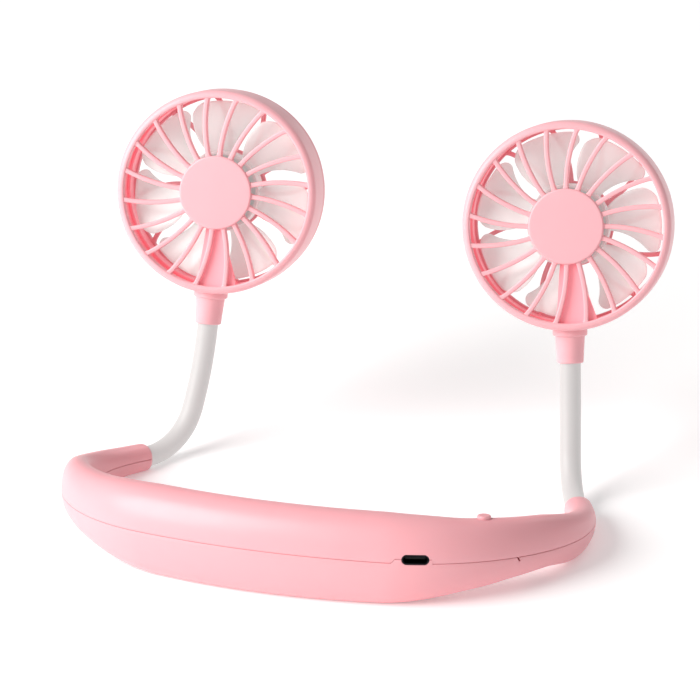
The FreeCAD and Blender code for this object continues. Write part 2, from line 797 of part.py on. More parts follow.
def outline(points):
    """Closed chain of lines through (radius, y) points, where a third value rounds that corner."""
    corners = [v(p[0], p[1], 0) for p in points]
    rounds = [p[2] if len(p) > 2 else 0.0 for p in points]
    count = len(points)
    ends = []
    for k in range(count):
        before = (corners[k - 1] - corners[k]).normalize()
        after = (corners[(k + 1) % count] - corners[k]).normalize()
        half = before.getAngle(after) / 2
        cut = rounds[k] / math.tan(half)
        bisector = (before + after).normalize()
        depth = rounds[k] / math.sin(half) - rounds[k]
        ends.append((corners[k] + before * cut, corners[k] + bisector * depth, corners[k] + after * cut))
    edges = []
    for k in range(count):
        if rounds[k] > 0:
            edges.append(Part.Arc(*ends[k]).toShape())
        edges.append(Part.LineSegment(ends[k][2], ends[(k + 1) % count][0]).toShape())
    return edges


def spoke(inner, outer, sweep, width, y0, y1, root):
    """Curved bar from a hub to a ring: it leaves the hub straight and bends round by the sweep."""
    chord = v(outer * cos(sweep) - inner, 0, -outer * sin(sweep))
    half_turn = math.atan2(-chord.z, chord.x)
    radius = abs(chord.Length / (2 * math.sin(half_turn)))
    hand = math.copysign(1, sweep)
    centre = v(inner, y0, -hand * radius)
    extra = root / radius
    turns = (-extra, abs(half_turn), 2 * abs(half_turn) + extra)
    sides = []
    for offset in (width / 2, -width / 2):
        reach = radius + offset
        sides.append([centre + v(math.sin(t), 0, hand * math.cos(t)) * reach for t in turns])
    near, far = sides
    edges = [
        Part.Arc(*near).toShape(),
        Part.LineSegment(near[2], far[2]).toShape(),
        Part.Arc(far[2], far[1], far[0]).toShape(),
        Part.LineSegment(far[0], near[0]).toShape(),
    ]
    return Part.Face(Part.Wire(edges)).extrude(v(0, y1 - y0, 0))


def round_long_edges(bar, y, radius, least):
    edges = []
    for edge in bar.Edges:
        box = edge.BoundBox
        if edge.Length > least and abs(box.YMin - y) < FIT and abs(box.YMax - y) < FIT:
            edges.append(edge)
    return bar.makeFillet(radius, edges)


def spun(shape, count):
    """Copies of a shape turned evenly about the fan's axis."""
    copies = []
    for k in range(count):
        copy = shape.copy()
        copy.rotate(v(0, 0, 0), FAN_AXIS, 360.0 * k / count)
        copies.append(copy)
    return copies


def front_ring():
    """The drum's front share: its wall and the ring round its face."""
    back = SPOKE_Y + FACE_THICK
    return turned(outline([
        (FACE_BORE_RADIUS, FRONT_Y, FACE_BORE_ROUND),
        (HEAD_RADIUS, FRONT_Y, FACE_ROUND),
        (HEAD_RADIUS, SPLIT_Y),
        (HEAD_RADIUS - HEAD_WALL, SPLIT_Y),
        (HEAD_RADIUS - HEAD_WALL, back),
        (FACE_BORE_RADIUS, back),
    ]))


def front_disc():
    """Domed disc in the middle of the face, hollow behind."""
    rim = v(DISC_RADIUS, SPOKE_Y, 0)
    crown = v(0, SPOKE_Y - DISC_DOME, 0)
    edge = v(DISC_RADIUS - DISC_EDGE, SPOKE_Y - DISC_EDGE, 0)
    shoulder = v(DISC_RADIUS - DISC_EDGE * (1 - cos(45)), SPOKE_Y - DISC_EDGE * sin(45), 0)
    between = v(edge.x / 2, SPOKE_Y - DISC_DOME + (DISC_DOME - DISC_EDGE) / 4, 0)
    heel = v(DISC_RADIUS, SPOKE_BACK_Y, 0)
    middle = v(0, SPOKE_BACK_Y, 0)
    disc = turned([
        Part.Arc(crown, between, edge).toShape(),
        Part.Arc(edge, shoulder, rim).toShape(),
        Part.LineSegment(rim, heel).toShape(),
        Part.LineSegment(heel, middle).toShape(),
        Part.LineSegment(middle, crown).toShape(),
    ])
    return disc.cut(drum(DISC_RADIUS - DISC_WALL, DISC_FLOOR_Y, REAR_Y))


def duct_front_y():
    return SPOKE_BACK_Y - WEB_LAP + WEB_COVER


def duct_rear_y():
    return duct_front_y() + 2 * (LEAD_RADIUS + FIT)


def lead_foot():
    """Height where the motor's leads turn to the stem, between the blades and the drum."""
    return -(BLADE_TIP_RADIUS + HEAD_RADIUS - HEAD_WALL - FIT) / 2


def lead_web():
    """Web behind the bars, from the motor's cup down to the drum's wall, flared to the right."""
    front = duct_front_y() - WEB_COVER
    rear = duct_rear_y() + WEB_COVER
    top = -MOTOR_RADIUS - FIT
    points = [v(-WEB_INNER_LEFT, front, top), v(WEB_INNER_RIGHT, front, top),
              v(WEB_OUTER_RIGHT, front, -HEAD_RADIUS), v(-WEB_OUTER_LEFT, front, -HEAD_RADIUS)]
    web = Part.Face(Part.makePolygon(points + points[:1])).extrude(v(0, rear - front, 0))
    return web.common(drum(HEAD_RADIUS - HEAD_WALL / 2, FRONT_Y, REAR_Y))


def front_grille():
    bar = spoke(DISC_RADIUS, FACE_BORE_RADIUS, SPOKE_SWEEP, SPOKE_WIDTH, SPOKE_Y, SPOKE_BACK_Y, SPOKE_ROOT)
    bar = round_long_edges(bar, SPOKE_Y, SPOKE_ROUND, DISC_RADIUS)
    cup = drum(CUP_RADIUS, SPOKE_Y, DISC_FLOOR_Y + CUP_LENGTH)
    cage = front_ring().fuse([front_disc(), cup, lead_web()] + spun(bar, SPOKES))
    cage = cage.cut(drum(MOTOR_RADIUS + FIT, DISC_FLOOR_Y, REAR_Y))
    inside = HEAD_RADIUS - HEAD_WALL - FIT
    half = DUCT_WIDTH / 2
    duct = block(-half, half, duct_front_y(), duct_rear_y(), -inside, -CUP_RADIUS - FIT)
    exit_top = lead_foot() + MOTOR_LEAD_BEND + LEAD_RADIUS
    way_out = block(-half, half, duct_front_y(), REAR_Y, -inside, exit_top)
    hole = Part.makeCylinder(COLLAR_PLUG_RADIUS + FIT, HEAD_RADIUS, v(0, 0, 0), UP * -1)
    keep = drum(FACE_BORE_RADIUS, FRONT_Y - DISC_DOME, REAR_Y)
    return cage.cut([duct, way_out, hole.cut(keep)])


def rear_housing():
    start = SPLIT_Y + REAR_GAP
    outer = HEAD_RADIUS - REAR_STEP
    spigot = HEAD_RADIUS - HEAD_WALL - FIT
    rim = turned(outline([
        (outer, start),
        (outer, REAR_Y, REAR_ROUND),
        (REAR_BORE_RADIUS, REAR_Y),
        (REAR_BORE_RADIUS, REAR_Y - REAR_SPOKE_SET_BACK - REAR_SPOKE_DEPTH),
        (spigot - SPIGOT_WALL, REAR_Y - REAR_SPOKE_SET_BACK - REAR_SPOKE_DEPTH),
        (spigot - SPIGOT_WALL, start - SPIGOT_LENGTH),
        (spigot, start - SPIGOT_LENGTH),
        (spigot, start),
    ]))
    rear = REAR_Y - REAR_SPOKE_SET_BACK
    front = rear - REAR_SPOKE_DEPTH
    bar = spoke(REAR_HUB_RADIUS, REAR_BORE_RADIUS, REAR_SPOKE_SWEEP, SPOKE_WIDTH, front, rear, SPOKE_ROOT)
    cage = rim.fuse([drum(REAR_HUB_RADIUS, front, rear)] + spun(bar, REAR_SPOKES))
    plug_half = COLLAR_PLUG_RADIUS + FIT
    notch = block(-plug_half, plug_half, FRONT_Y, plug_half, -HEAD_RADIUS, -spigot + 2 * SPIGOT_WALL)
    return cage.cut(notch)


def stem_collar():
    foot = -HEAD_HEIGHT
    sleeve = Part.makeCone(COLLAR_FOOT_RADIUS, COLLAR_TOP_RADIUS, COLLAR_TOP - foot, v(0, 0, foot), UP)
    rim = [edge for edge in sleeve.Edges if edge.BoundBox.ZMax < foot + FIT]
    sleeve = sleeve.makeFillet(FLANGE_ROUND / 2, rim)
    flange = Part.makeCylinder(FLANGE_RADIUS, FLANGE_HEIGHT + FACE_ROUND, v(0, 0, COLLAR_TOP), UP)
    low = [edge for edge in flange.Edges if edge.BoundBox.ZMax < COLLAR_TOP + FIT]
    flange = flange.makeFillet(FLANGE_ROUND, low)
    flange = flange.cut(drum(HEAD_RADIUS + FIT, FRONT_Y, REAR_Y))
    top = -HEAD_RADIUS + HEAD_WALL + COLLAR_PLUG_PROUD
    plug = Part.makeCylinder(COLLAR_PLUG_RADIUS, top - COLLAR_TOP, v(0, 0, COLLAR_TOP), UP)
    socket = Part.makeCylinder(SLEEVE_RADIUS + NECK_CLEARANCE, SOCKET_DEPTH, v(0, 0, foot), UP)
    bore = Part.makeCylinder(PIN_RADIUS + RUNNING_FIT, top - foot, v(0, 0, foot), UP)
    return sleeve.fuse([flange, plug]).cut([socket, bore])


def swivel_pin():
    """Brass pin crimped on the top of the bendable wire, which the collar turns on."""
    step = -HEAD_HEIGHT + SOCKET_DEPTH - RUNNING_FIT
    top = -HEAD_RADIUS + HEAD_WALL
    flange = post(SLEEVE_RADIUS - RUNNING_FIT, step - PIN_FLANGE_THICK, step, v(0, 0, 0))
    return flange.fuse(post(PIN_RADIUS, step, top, v(0, 0, 0)))


def swivel_pin_placed(side):
    pin = in_head(swivel_pin(), side)
    holes = [tube(neck_path(side, SLEEVE_TAIL, HEAD_HEIGHT), CORE_RADIUS + RUNNING_FIT)]
    for shift in (-NECK_LEAD_OFFSET, NECK_LEAD_OFFSET):
        path = neck_path(side, SLEEVE_TAIL, HEAD_HEIGHT, shift)
        holes.append(tube(path, NECK_LEAD_RADIUS + RUNNING_FIT))
    return pin.cut(holes)


# Impeller

def blade_section(reach):
    """Thin cambered section of a blade, at a distance from the fan's axis along the blade's middle."""
    half = reach * math.tan(math.radians(BLADE_SPAN / 2))
    rise = BLADE_RISE / 2
    slope = v(0, -rise, half).normalize()
    normal = v(0, slope.z, -slope.y)
    lead = v(reach, BLADE_CENTRE_Y + rise, -half)
    trail = v(reach, BLADE_CENTRE_Y - rise, half)
    crown = (lead + trail) / 2 - normal * BLADE_CAMBER
    thick = normal * BLADE_THICK
    return Part.Wire([
        Part.Arc(lead, crown, trail).toShape(),
        Part.LineSegment(trail, trail + thick).toShape(),
        Part.Arc(trail + thick, crown + thick, lead + thick).toShape(),
        Part.LineSegment(lead + thick, lead).toShape(),
    ])


def blade_outline():
    """Plan of a blade: a full belly and shoulder on one side, a horn and a waist on the other."""
    def at(radius, angle):
        return v(radius * cos(angle), FRONT_Y, radius * sin(angle))

    root = HUB_RADIUS - HUB_WALL / 2
    foot_low, foot_high = [at(root, angle) for angle in BLADE_ROOT_ANGLES]
    belly = at(BLADE_BELLY_RADIUS, BLADE_BELLY_ANGLE)
    shoulder = at(BLADE_SHOULDER_RADIUS, BLADE_SHOULDER_ANGLE)
    corner = at(BLADE_TIP_RADIUS, BLADE_CORNER_ANGLE)
    between = (BLADE_CORNER_ANGLE + BLADE_SHOULDER_ANGLE) / 2
    soft_corner = at((BLADE_TIP_RADIUS + BLADE_SHOULDER_RADIUS) / 2 + BLADE_CORNER_BULGE, between)
    top = at(BLADE_TIP_RADIUS, (BLADE_CORNER_ANGLE + BLADE_HORN_ROUND_ANGLE) / 2)
    horn_start = at(BLADE_TIP_RADIUS, BLADE_HORN_ROUND_ANGLE)
    horn = at((BLADE_TIP_RADIUS + BLADE_HORN_RADIUS) / 2, BLADE_HORN_ANGLE)
    horn_end = at(BLADE_HORN_RADIUS, BLADE_HORN_ANGLE)
    waist = at(BLADE_WAIST_RADIUS, BLADE_WAIST_ANGLE)
    edges = [
        Part.LineSegment(foot_low, foot_high).toShape(),
        Part.Arc(foot_high, belly, shoulder).toShape(),
        Part.Arc(shoulder, soft_corner, corner).toShape(),
        Part.Arc(corner, top, horn_start).toShape(),
        Part.Arc(horn_start, horn, horn_end).toShape(),
        Part.Arc(horn_end, waist, foot_low).toShape(),
    ]
    return Part.Face(Part.Wire(edges)).extrude(v(0, HEAD_DEPTH, 0))


def impeller(side):
    near = HUB_RADIUS * cos(BLADE_SPAN / 2) - HUB_WALL
    step = (BLADE_TIP_RADIUS + HUB_WALL - near) / (BLADE_SECTIONS - 1)
    sections = [blade_section(near + step * k) for k in range(BLADE_SECTIONS)]
    blade = Part.makeLoft(sections, True, False).common(blade_outline())
    blade.rotate(v(0, 0, 0), FAN_AXIS, -IMPELLER_TURNS[side])
    front = HUB_REAR_Y - HUB_LENGTH
    floor = HUB_REAR_Y - HUB_WALL
    boss = HUB_REAR_Y - HUB_BOSS_LENGTH
    hub = turned(outline([
        (0, boss),
        (HUB_BOSS_RADIUS, boss),
        (HUB_BOSS_RADIUS, floor),
        (HUB_RADIUS - HUB_WALL, floor),
        (HUB_RADIUS - HUB_WALL, front),
        (HUB_RADIUS, front),
        (HUB_RADIUS, HUB_REAR_Y, HUB_ROUND),
        (0, HUB_REAR_Y),
    ]))
    wheel = hub.fuse(spun(blade, BLADES))
    shaft_hole = drum(SHAFT_RADIUS + RUNNING_FIT, FRONT_Y, MOTOR_NOSE_Y + SHAFT_PROUD + FIT)
    return wheel.cut([shaft_hole, drum(HUB_RADIUS - HUB_WALL, FRONT_Y, boss)])


# Motor

def motor_can():
    can = drum(MOTOR_RADIUS, MOTOR_SEAT_Y, MOTOR_NOSE_Y)
    can = can.cut(drum(MOTOR_RADIUS - MOTOR_SHEET, MOTOR_SEAT_Y, MOTOR_NOSE_Y - MOTOR_SHEET))
    return can.cut(drum(BUSHING_RADIUS + FIT / 2, FRONT_Y, REAR_Y))


def motor_bushing():
    end = MOTOR_NOSE_Y + BUSHING_PROUD
    bush = drum(BUSHING_RADIUS, end - BUSHING_LENGTH, end)
    return bush.cut(drum(SHAFT_RADIUS + RUNNING_FIT, FRONT_Y, REAR_Y))


def motor_magnets():
    start = MOTOR_NOSE_Y - MOTOR_SHEET - FIT - MAGNET_LENGTH
    outer = MOTOR_RADIUS - MOTOR_SHEET - FIT
    magnets = []
    for side in (0, 180):
        arc = Part.makeCylinder(outer, MAGNET_LENGTH, v(0, start, 0), FAN_AXIS, MAGNET_ARC)
        arc = arc.cut(drum(outer - MAGNET_THICK, FRONT_Y, REAR_Y))
        arc.rotate(v(0, 0, 0), FAN_AXIS, side)
        magnets.append(arc)
    return Part.makeCompound(magnets)


def motor_armature():
    start = MOTOR_SEAT_Y + END_CAP_THICK + END_PLAY
    end = MOTOR_NOSE_Y + BUSHING_PROUD - BUSHING_LENGTH - END_PLAY
    ring_end = start + COMMUTATOR_LENGTH
    core = drum(ARMATURE_RADIUS, ring_end, end)
    bottom = ARMATURE_RADIUS - SLOT_DEPTH
    slot = block(bottom, ARMATURE_RADIUS, ring_end, end, -SLOT_WIDTH / 2, SLOT_WIDTH / 2)
    core = core.cut(spun(slot, ARMATURE_SLOTS))
    core = core.fuse(drum(COMMUTATOR_RADIUS, start, ring_end))
    return core.cut(drum(SHAFT_RADIUS + RUNNING_FIT, FRONT_Y, REAR_Y))


def motor_shaft():
    return drum(SHAFT_RADIUS, MOTOR_NOSE_Y - SHAFT_INSIDE, MOTOR_NOSE_Y + SHAFT_PROUD)


def motor_end_cap():
    cap = drum(MOTOR_RADIUS - MOTOR_SHEET - FIT, MOTOR_SEAT_Y, MOTOR_SEAT_Y + END_CAP_THICK)
    return cap.cut(drum(SHAFT_RADIUS + RUNNING_FIT, MOTOR_NOSE_Y - SHAFT_INSIDE - FIT, REAR_Y))


def motor_leads():
    """Pair of leads from the motor's side, down the web's duct and back to the stem."""
    y = (duct_front_y() + duct_rear_y()) / 2
    top = -(CUP_RADIUS + FIT)
    low = lead_foot()
    bend = MOTOR_LEAD_BEND
    leads = []
    for x in (-MOTOR_LEAD_SPACING, MOTOR_LEAD_SPACING):
        centre = v(x, y + bend, low + bend)
        elbow = centre + v(0, -cos(45), -sin(45)) * bend
        edges = [
            Part.LineSegment(v(x, y, top), v(x, y, low + bend)).toShape(),
            Part.Arc(v(x, y, low + bend), elbow, v(x, y + bend, low)).toShape(),
            Part.LineSegment(v(x, y + bend, low), v(x, -LEAD_PITCH, low)).toShape(),
        ]
        leads.append(tube(edges, LEAD_RADIUS))
    return Part.makeCompound(leads)


# Assembly

def save(name, shape):
    shape = shape.copy()
    shape.Placement = STAND.multiply(shape.Placement)
    shape.exportStep("parts/" + name + ".step")
    print(name, len(shape.Solids), "solids", round(shape.Volume, 1), "mm3", "valid", shape.isValid())


def band_nodes():
    body = rounded_band()
    cavity = band_loft(WALL, CAVITY_HEADING)
    return {
        "band_upper_shell": band_upper_shell(body, cavity),
        "band_lower_shell": band_lower_shell(body, cavity),
        "shell_screws": shell_screws(),
        "battery_cell": battery_cell(),
        "battery_pad": battery_pad(),
        "battery_leads": battery_leads(),
        "control_board": control_board(),
        "usb_socket_shell": usb_socket_shell(),
        "usb_socket_tongue": usb_socket_tongue(),
        "switch_body": switch_body(),
        "switch_plunger": switch_plunger(),
        "power_button": power_button(),
        "left_fan_leads": fan_leads("left"),
        "right_fan_leads": fan_leads("right"),
    }


def side_nodes(side):
    nodes = {
        "neck_anchor": neck_anchor(side),
        "neck_sleeve": neck_sleeve(side),
        "neck_core": neck_core(side),
        "neck_leads": neck_leads(side),
        "swivel_pin": swivel_pin_placed(side),
    }
    head = {
        "stem_collar": stem_collar(),
        "front_grille": front_grille(),
        "rear_housing": rear_housing(),
        "impeller": impeller(side),
        "motor_can": motor_can(),
        "motor_bushing": motor_bushing(),
        "motor_magnets": motor_magnets(),
        "motor_armature": motor_armature(),
        "motor_shaft": motor_shaft(),
        "motor_end_cap": motor_end_cap(),
        "motor_leads": motor_leads(),
    }
    for name, shape in head.items():
        nodes[name] = in_head(shape, side)
    return {side + "_" + name: shape for name, shape in nodes.items()}


os.makedirs("parts", exist_ok=True)
for node, solid in band_nodes().items():
    save(node, solid)
for side_name in SIDES:
    for node, solid in side_nodes(side_name).items():
        save(node, solid)
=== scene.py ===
import json
import math

import bmesh
import bpy
from mathutils import Matrix, Vector


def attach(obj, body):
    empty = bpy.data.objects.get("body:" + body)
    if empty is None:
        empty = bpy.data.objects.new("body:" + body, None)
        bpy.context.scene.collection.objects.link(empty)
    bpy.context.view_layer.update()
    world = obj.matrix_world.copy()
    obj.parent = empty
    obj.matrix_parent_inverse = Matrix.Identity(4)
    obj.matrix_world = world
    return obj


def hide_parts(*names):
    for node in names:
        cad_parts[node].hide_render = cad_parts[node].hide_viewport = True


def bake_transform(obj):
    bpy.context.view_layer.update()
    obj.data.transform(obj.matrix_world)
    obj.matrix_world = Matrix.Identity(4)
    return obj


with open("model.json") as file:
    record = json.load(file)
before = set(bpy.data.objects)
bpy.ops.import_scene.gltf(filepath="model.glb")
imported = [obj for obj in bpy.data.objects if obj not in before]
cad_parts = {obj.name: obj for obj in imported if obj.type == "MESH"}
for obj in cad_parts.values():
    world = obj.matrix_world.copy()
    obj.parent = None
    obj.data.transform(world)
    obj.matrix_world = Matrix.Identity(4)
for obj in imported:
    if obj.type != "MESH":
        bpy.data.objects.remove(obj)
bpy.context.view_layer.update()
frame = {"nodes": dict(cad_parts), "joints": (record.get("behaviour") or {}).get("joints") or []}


# Lower shell of the band: the belly of the hollow C that lies round the back of the neck.
# Moulded in pink plastic with a fine spark grain. It carries the lip that locates the upper shell,
# four screw wells and a pry notch, and the fan stands on its flat and on its two noses.

MM = 0.001
UP = Vector((0, 0, 1))
SEAM_ARCS = ((230.0, 11.05), (65.5, 66.5), (52.5, 115.0), (150.0, 119.0))
NOSE_HEADING = SEAM_ARCS[-1][1]
GIRTHS = (
    # heading, thickness, height above the seam, depth below the seam
    (0.0, 20.0, 14.5, 17.0),
    (5.5, 20.0, 14.5, 16.9),
    (11.0, 20.0, 14.5, 16.5),
    (20.0, 19.6, 14.1, 15.4),
    (28.0, 18.9, 13.6, 13.9),
    (37.0, 17.5, 12.8, 11.9),
    (45.0, 16.0, 12.4, 10.4),
    (53.0, 14.5, 11.9, 8.8),
    (66.5, 12.0, 10.9, 7.2),
    (74.0, 11.2, 9.9, 7.6),
    (81.5, 10.6, 8.7, 8.2),
    (90.0, 10.2, 7.4, 8.0),
    (100.0, 10.0, 6.2, 6.8),
    (110.0, 9.9, 5.3, 5.8),
    (115.0, 9.8, 5.0, 5.3),
    (NOSE_HEADING, 9.7, 4.7, 4.9),
)
FULLNESS = 2.25
STATION_STEP = 1.6
SHELL_WALL = 1.9
CAVITY_HEADING = 109.0
BORE_RADIUS = 3.85
BORE_HEIGHT = (GIRTHS[-1][2] - GIRTHS[-1][3]) / 2
NOSE_ROUND = 1.8
NOSE_RIM = 0.12
SEAM_GAP = 0.14
SEAM_SOFT = 0.16
LIP_INSET = 0.95
LIP_HEIGHT = 1.4
LIP_CLEARANCE = 0.15
PORT_HEADING = 21.3
PORT_RISE = 1.45
PORT_STEP_UP = (-8.1, -6.8)
PORT_STEP_DOWN = (5.5, 5.7)
PORT_WIDTH = 8.94
PORT_TALL = 3.16
PORT_CLEARANCE = 0.2
PORT_CUT = (-6.0, 7.3)
FLAT_POINT = Vector((0, 10.0, -16.5))
SCREW_HEADINGS = (-64.0, -10.5, 10.5, 64.0)
SCREW_WELL_RADIUS = 2.1
SCREW_HOLE_RADIUS = 1.1
SCREW_GRIP = 1.6
SCREW_SEAT_DEPTH = 5.0
SCREW_HEAD_HEIGHT = 1.5
BOSS_WALL = 1.0
CUT_PAST = 40.0
CUT_LAP = 0.5
PRY_HEADING = 52.7
PRY_SIZE = (0.6, 1.4, 1.7)
PRY_SLANT = -35.0
CREASE = math.radians(32)

joints = {joint["name"]: joint for joint in frame["joints"]}
button_way = Vector(joints["power_button_press"]["axis"])
stand_tilt = math.asin(abs(button_way.y))
STAND = Matrix.Rotation(-stand_tilt, 4, "X") @ Matrix.Translation(-FLAT_POINT)
TABLE = Matrix.Scale(MM, 4) @ STAND


def seam_point(heading):
    """Point of the outer seam line where the band runs at this heading."""
    turn = abs(heading)
    x, y, start = 0.0, 0.0, 0.0
    for radius, end in SEAM_ARCS:
        low = math.radians(start)
        high = math.radians(max(start, min(turn, end)))
        x += radius * (math.sin(high) - math.sin(low))
        y += radius * (math.cos(low) - math.cos(high))
        start = end
    return Vector((math.copysign(x, heading), y, 0))


def inward(heading):
    angle = math.radians(heading)
    return Vector((-math.sin(angle), math.cos(angle), 0))


def girth_slope(k, column):
    if k == 0:
        return 0.0
    after = min(k + 1, len(GIRTHS) - 1)
    return (GIRTHS[after][column] - GIRTHS[k - 1][column]) / (GIRTHS[after][0] - GIRTHS[k - 1][0])


def girth(heading):
    """Thickness, height and depth of the band, eased through the table."""
    turn = min(abs(heading), NOSE_HEADING)
    k = max(i for i in range(len(GIRTHS) - 1) if GIRTHS[i][0] <= turn)
    span = GIRTHS[k + 1][0] - GIRTHS[k][0]
    t = (turn - GIRTHS[k][0]) / span
    sizes = []
    for column in (1, 2, 3):
        low, high = GIRTHS[k][column], GIRTHS[k + 1][column]
        lean = girth_slope(k, column) * (1 - t) - girth_slope(k + 1, column) * t
        sizes.append(low + (high - low) * t * t * (3 - 2 * t) + t * (1 - t) * lean * span)
    return sizes


def middle_point(heading):
    return seam_point(heading) + inward(heading) * (girth(heading)[0] / 2)


def band_stations():
    """Headings of the band's sections with the pinch of its rounded nose ends."""
    half, start = [], 0.0
    for radius, end in SEAM_ARCS:
        count = math.ceil(radius * math.radians(end - start) / STATION_STEP)
        half += [start + (end - start) * k / count for k in range(count)]
        start = end
    half += [CAVITY_HEADING - 0.02, CAVITY_HEADING + 0.02]
    last_round = math.degrees(NOSE_ROUND / SEAM_ARCS[-1][0])
    half = sorted(h for h in half if h < NOSE_HEADING - last_round)
    stations = [(h, 0.0) for h in half]
    room = girth(NOSE_HEADING)[0] / 2 - BORE_RADIUS - NOSE_RIM
    last_angle = math.acos(1 - room / NOSE_ROUND)
    for k in range(9):
        angle = last_angle * k / 8
        back = NOSE_ROUND * (1 - math.sin(angle))
        heading = NOSE_HEADING - math.degrees(back / SEAM_ARCS[-1][0])
        stations.append((heading, NOSE_ROUND * (1 - math.cos(angle))))
    edges = PORT_STEP_UP + PORT_STEP_DOWN
    port = [(PORT_HEADING + math.degrees(edge / SEAM_ARCS[1][0]), 0.0) for edge in edges]
    return sorted([(-h, pinch) for h, pinch in stations[1:]] + stations + port)


def parting(heading):
    """Height of the outer seam: it steps up to the middle of the charging socket and down again."""
    along = math.radians(heading - PORT_HEADING) * SEAM_ARCS[1][0]
    climb = (along - PORT_STEP_UP[0]) / (PORT_STEP_UP[1] - PORT_STEP_UP[0])
    fall = (PORT_STEP_DOWN[1] - along) / (PORT_STEP_DOWN[1] - PORT_STEP_DOWN[0])
    return PORT_RISE * max(0.0, min(1.0, climb, fall))


def shell_loop(heading, pinch, upper):
    """Closed section of one half of the band, as points in the band's frame."""
    thick, above, below = girth(heading)
    hollow = abs(heading) < CAVITY_HEADING
    sign = 1 if upper else -1
    outer_seam = parting(heading) + (SEAM_GAP if upper else 0)
    inner_seam = SEAM_GAP if upper else 0
    power = 2 / FULLNESS

    def angle_at(height, inset):
        size = (above if height > 0 else below) - inset
        return math.copysign(math.asin(min(1.0, abs(height) / size) ** (1 / power)), height)

    def curve_point(angle, inset):
        reach, lift = math.cos(angle), math.sin(angle)
        size = (above if lift > 0 else below) - inset
        across = math.copysign(abs(reach) ** power, reach) * (thick / 2 - inset)
        return across, math.copysign(abs(lift) ** power, lift) * size

    def across_at(height, inset):
        return curve_point(angle_at(height, inset), inset)[0]

    def bore_point(angle):
        return BORE_RADIUS * math.cos(angle), BORE_HEIGHT + BORE_RADIUS * math.sin(angle)

    def bore_angle(height):
        return math.asin((height - BORE_HEIGHT) / BORE_RADIUS)

    def sweep(point, low, high, count):
        return [point(low + (high - low) * k / (count - 1)) for k in range(count)]

    def rim(side, height, lip_height):
        """Rounded outer edge, seam face and lip on one side of the section."""
        wide = across_at(height, pinch)
        lip = LIP_INSET if upper else LIP_INSET + LIP_CLEARANCE
        soft = SEAM_SOFT if hollow or pinch == 0 else SEAM_SOFT / 2
        points = [(wide - soft * 0.3, height + sign * soft * 0.3), (wide - soft, height)]
        if hollow:
            points += [(across_at(height, lip), height), (across_at(lip_height, lip), lip_height)]
        else:
            edge = bore_point(bore_angle(height))[0]
            points += [(wide - soft - (wide - soft - edge) * share, height) for share in (0.33, 0.66)]
        return [(side * x, z) for x, z in points]

    lip_in = LIP_HEIGHT + (LIP_CLEARANCE if upper else 0)
    lip_out = max(lip_in, outer_seam + LIP_CLEARANCE)
    soft = SEAM_SOFT if pinch == 0 else SEAM_SOFT / 2
    first = angle_at(outer_seam + sign * soft, pinch)
    last = sign * math.pi - angle_at(inner_seam + sign * soft, pinch)
    loop = sweep(lambda a: curve_point(a, pinch), first, last, 44)
    loop += rim(-1, inner_seam, lip_in)
    if hollow:
        start = sign * math.pi - angle_at(lip_in, SHELL_WALL)
        loop += sweep(lambda a: curve_point(a, SHELL_WALL), start, angle_at(lip_out, SHELL_WALL), 26)
    else:
        start = sign * math.pi - bore_angle(inner_seam)
        loop += sweep(bore_point, start, bore_angle(outer_seam), 26)
    loop += reversed(rim(1, outer_seam, lip_out))
    centre = middle_point(heading)
    out = -inward(heading)
    return [centre + out * x + UP * z for x, z in loop]


def loft(rows, ring=False):
    """Points and faces over closed rows: the last row meets the first in a ring, or both ends are capped."""
    count = len(rows[0])
    points = [p for row in rows for p in row]
    faces = []
    for r in range(len(rows) if ring else len(rows) - 1):
        a, b = r * count, (r + 1) % len(rows) * count
        for c in range(count):
            d = (c + 1) % count
            faces.append((a + c, a + d, b + d, b + c))
    if not ring:
        faces.append(tuple(range(count)))
        faces.append(tuple(range(len(points) - count, len(points))))
    return points, faces


def soften(mesh):
    mesh.polygons.foreach_set("use_smooth", [True] * len(mesh.polygons))
    mesh.set_sharp_from_angle(angle=CREASE)


def piece(name, parts, finish, place=TABLE):
    """Object from one or more skins of points and faces, drawn in millimetres and placed in metres."""
    build = bmesh.new()
    for points, faces in parts:
        corners = [build.verts.new(place @ p) for p in points]
        for face in faces:
            build.faces.new([corners[k] for k in face])
    bmesh.ops.remove_doubles(build, verts=build.verts, dist=0.002 * MM)
    bmesh.ops.recalc_face_normals(build, faces=build.faces)
    mesh = bpy.data.meshes.new(name)
    build.to_mesh(mesh)
    build.free()
    soften(mesh)
    mesh.materials.append(finish)
    made = bpy.data.objects.new(name, mesh)
    bpy.context.scene.collection.objects.link(made)
    return made


def carve(body, operation, *tools):
    """Joins closed tools to a closed body or cuts them from it, for good."""
    for tool in tools:
        step = body.modifiers.new(operation, "BOOLEAN")
        step.operation = operation
        step.solver = "MANIFOLD"
        step.object = tool
    shaped = body.evaluated_get(bpy.context.evaluated_depsgraph_get())
    mesh = bpy.data.meshes.new_from_object(shaped)
    body.modifiers.clear()
    body.data = mesh
    soften(mesh)
    for tool in tools:
        bpy.data.objects.remove(tool)
    return body


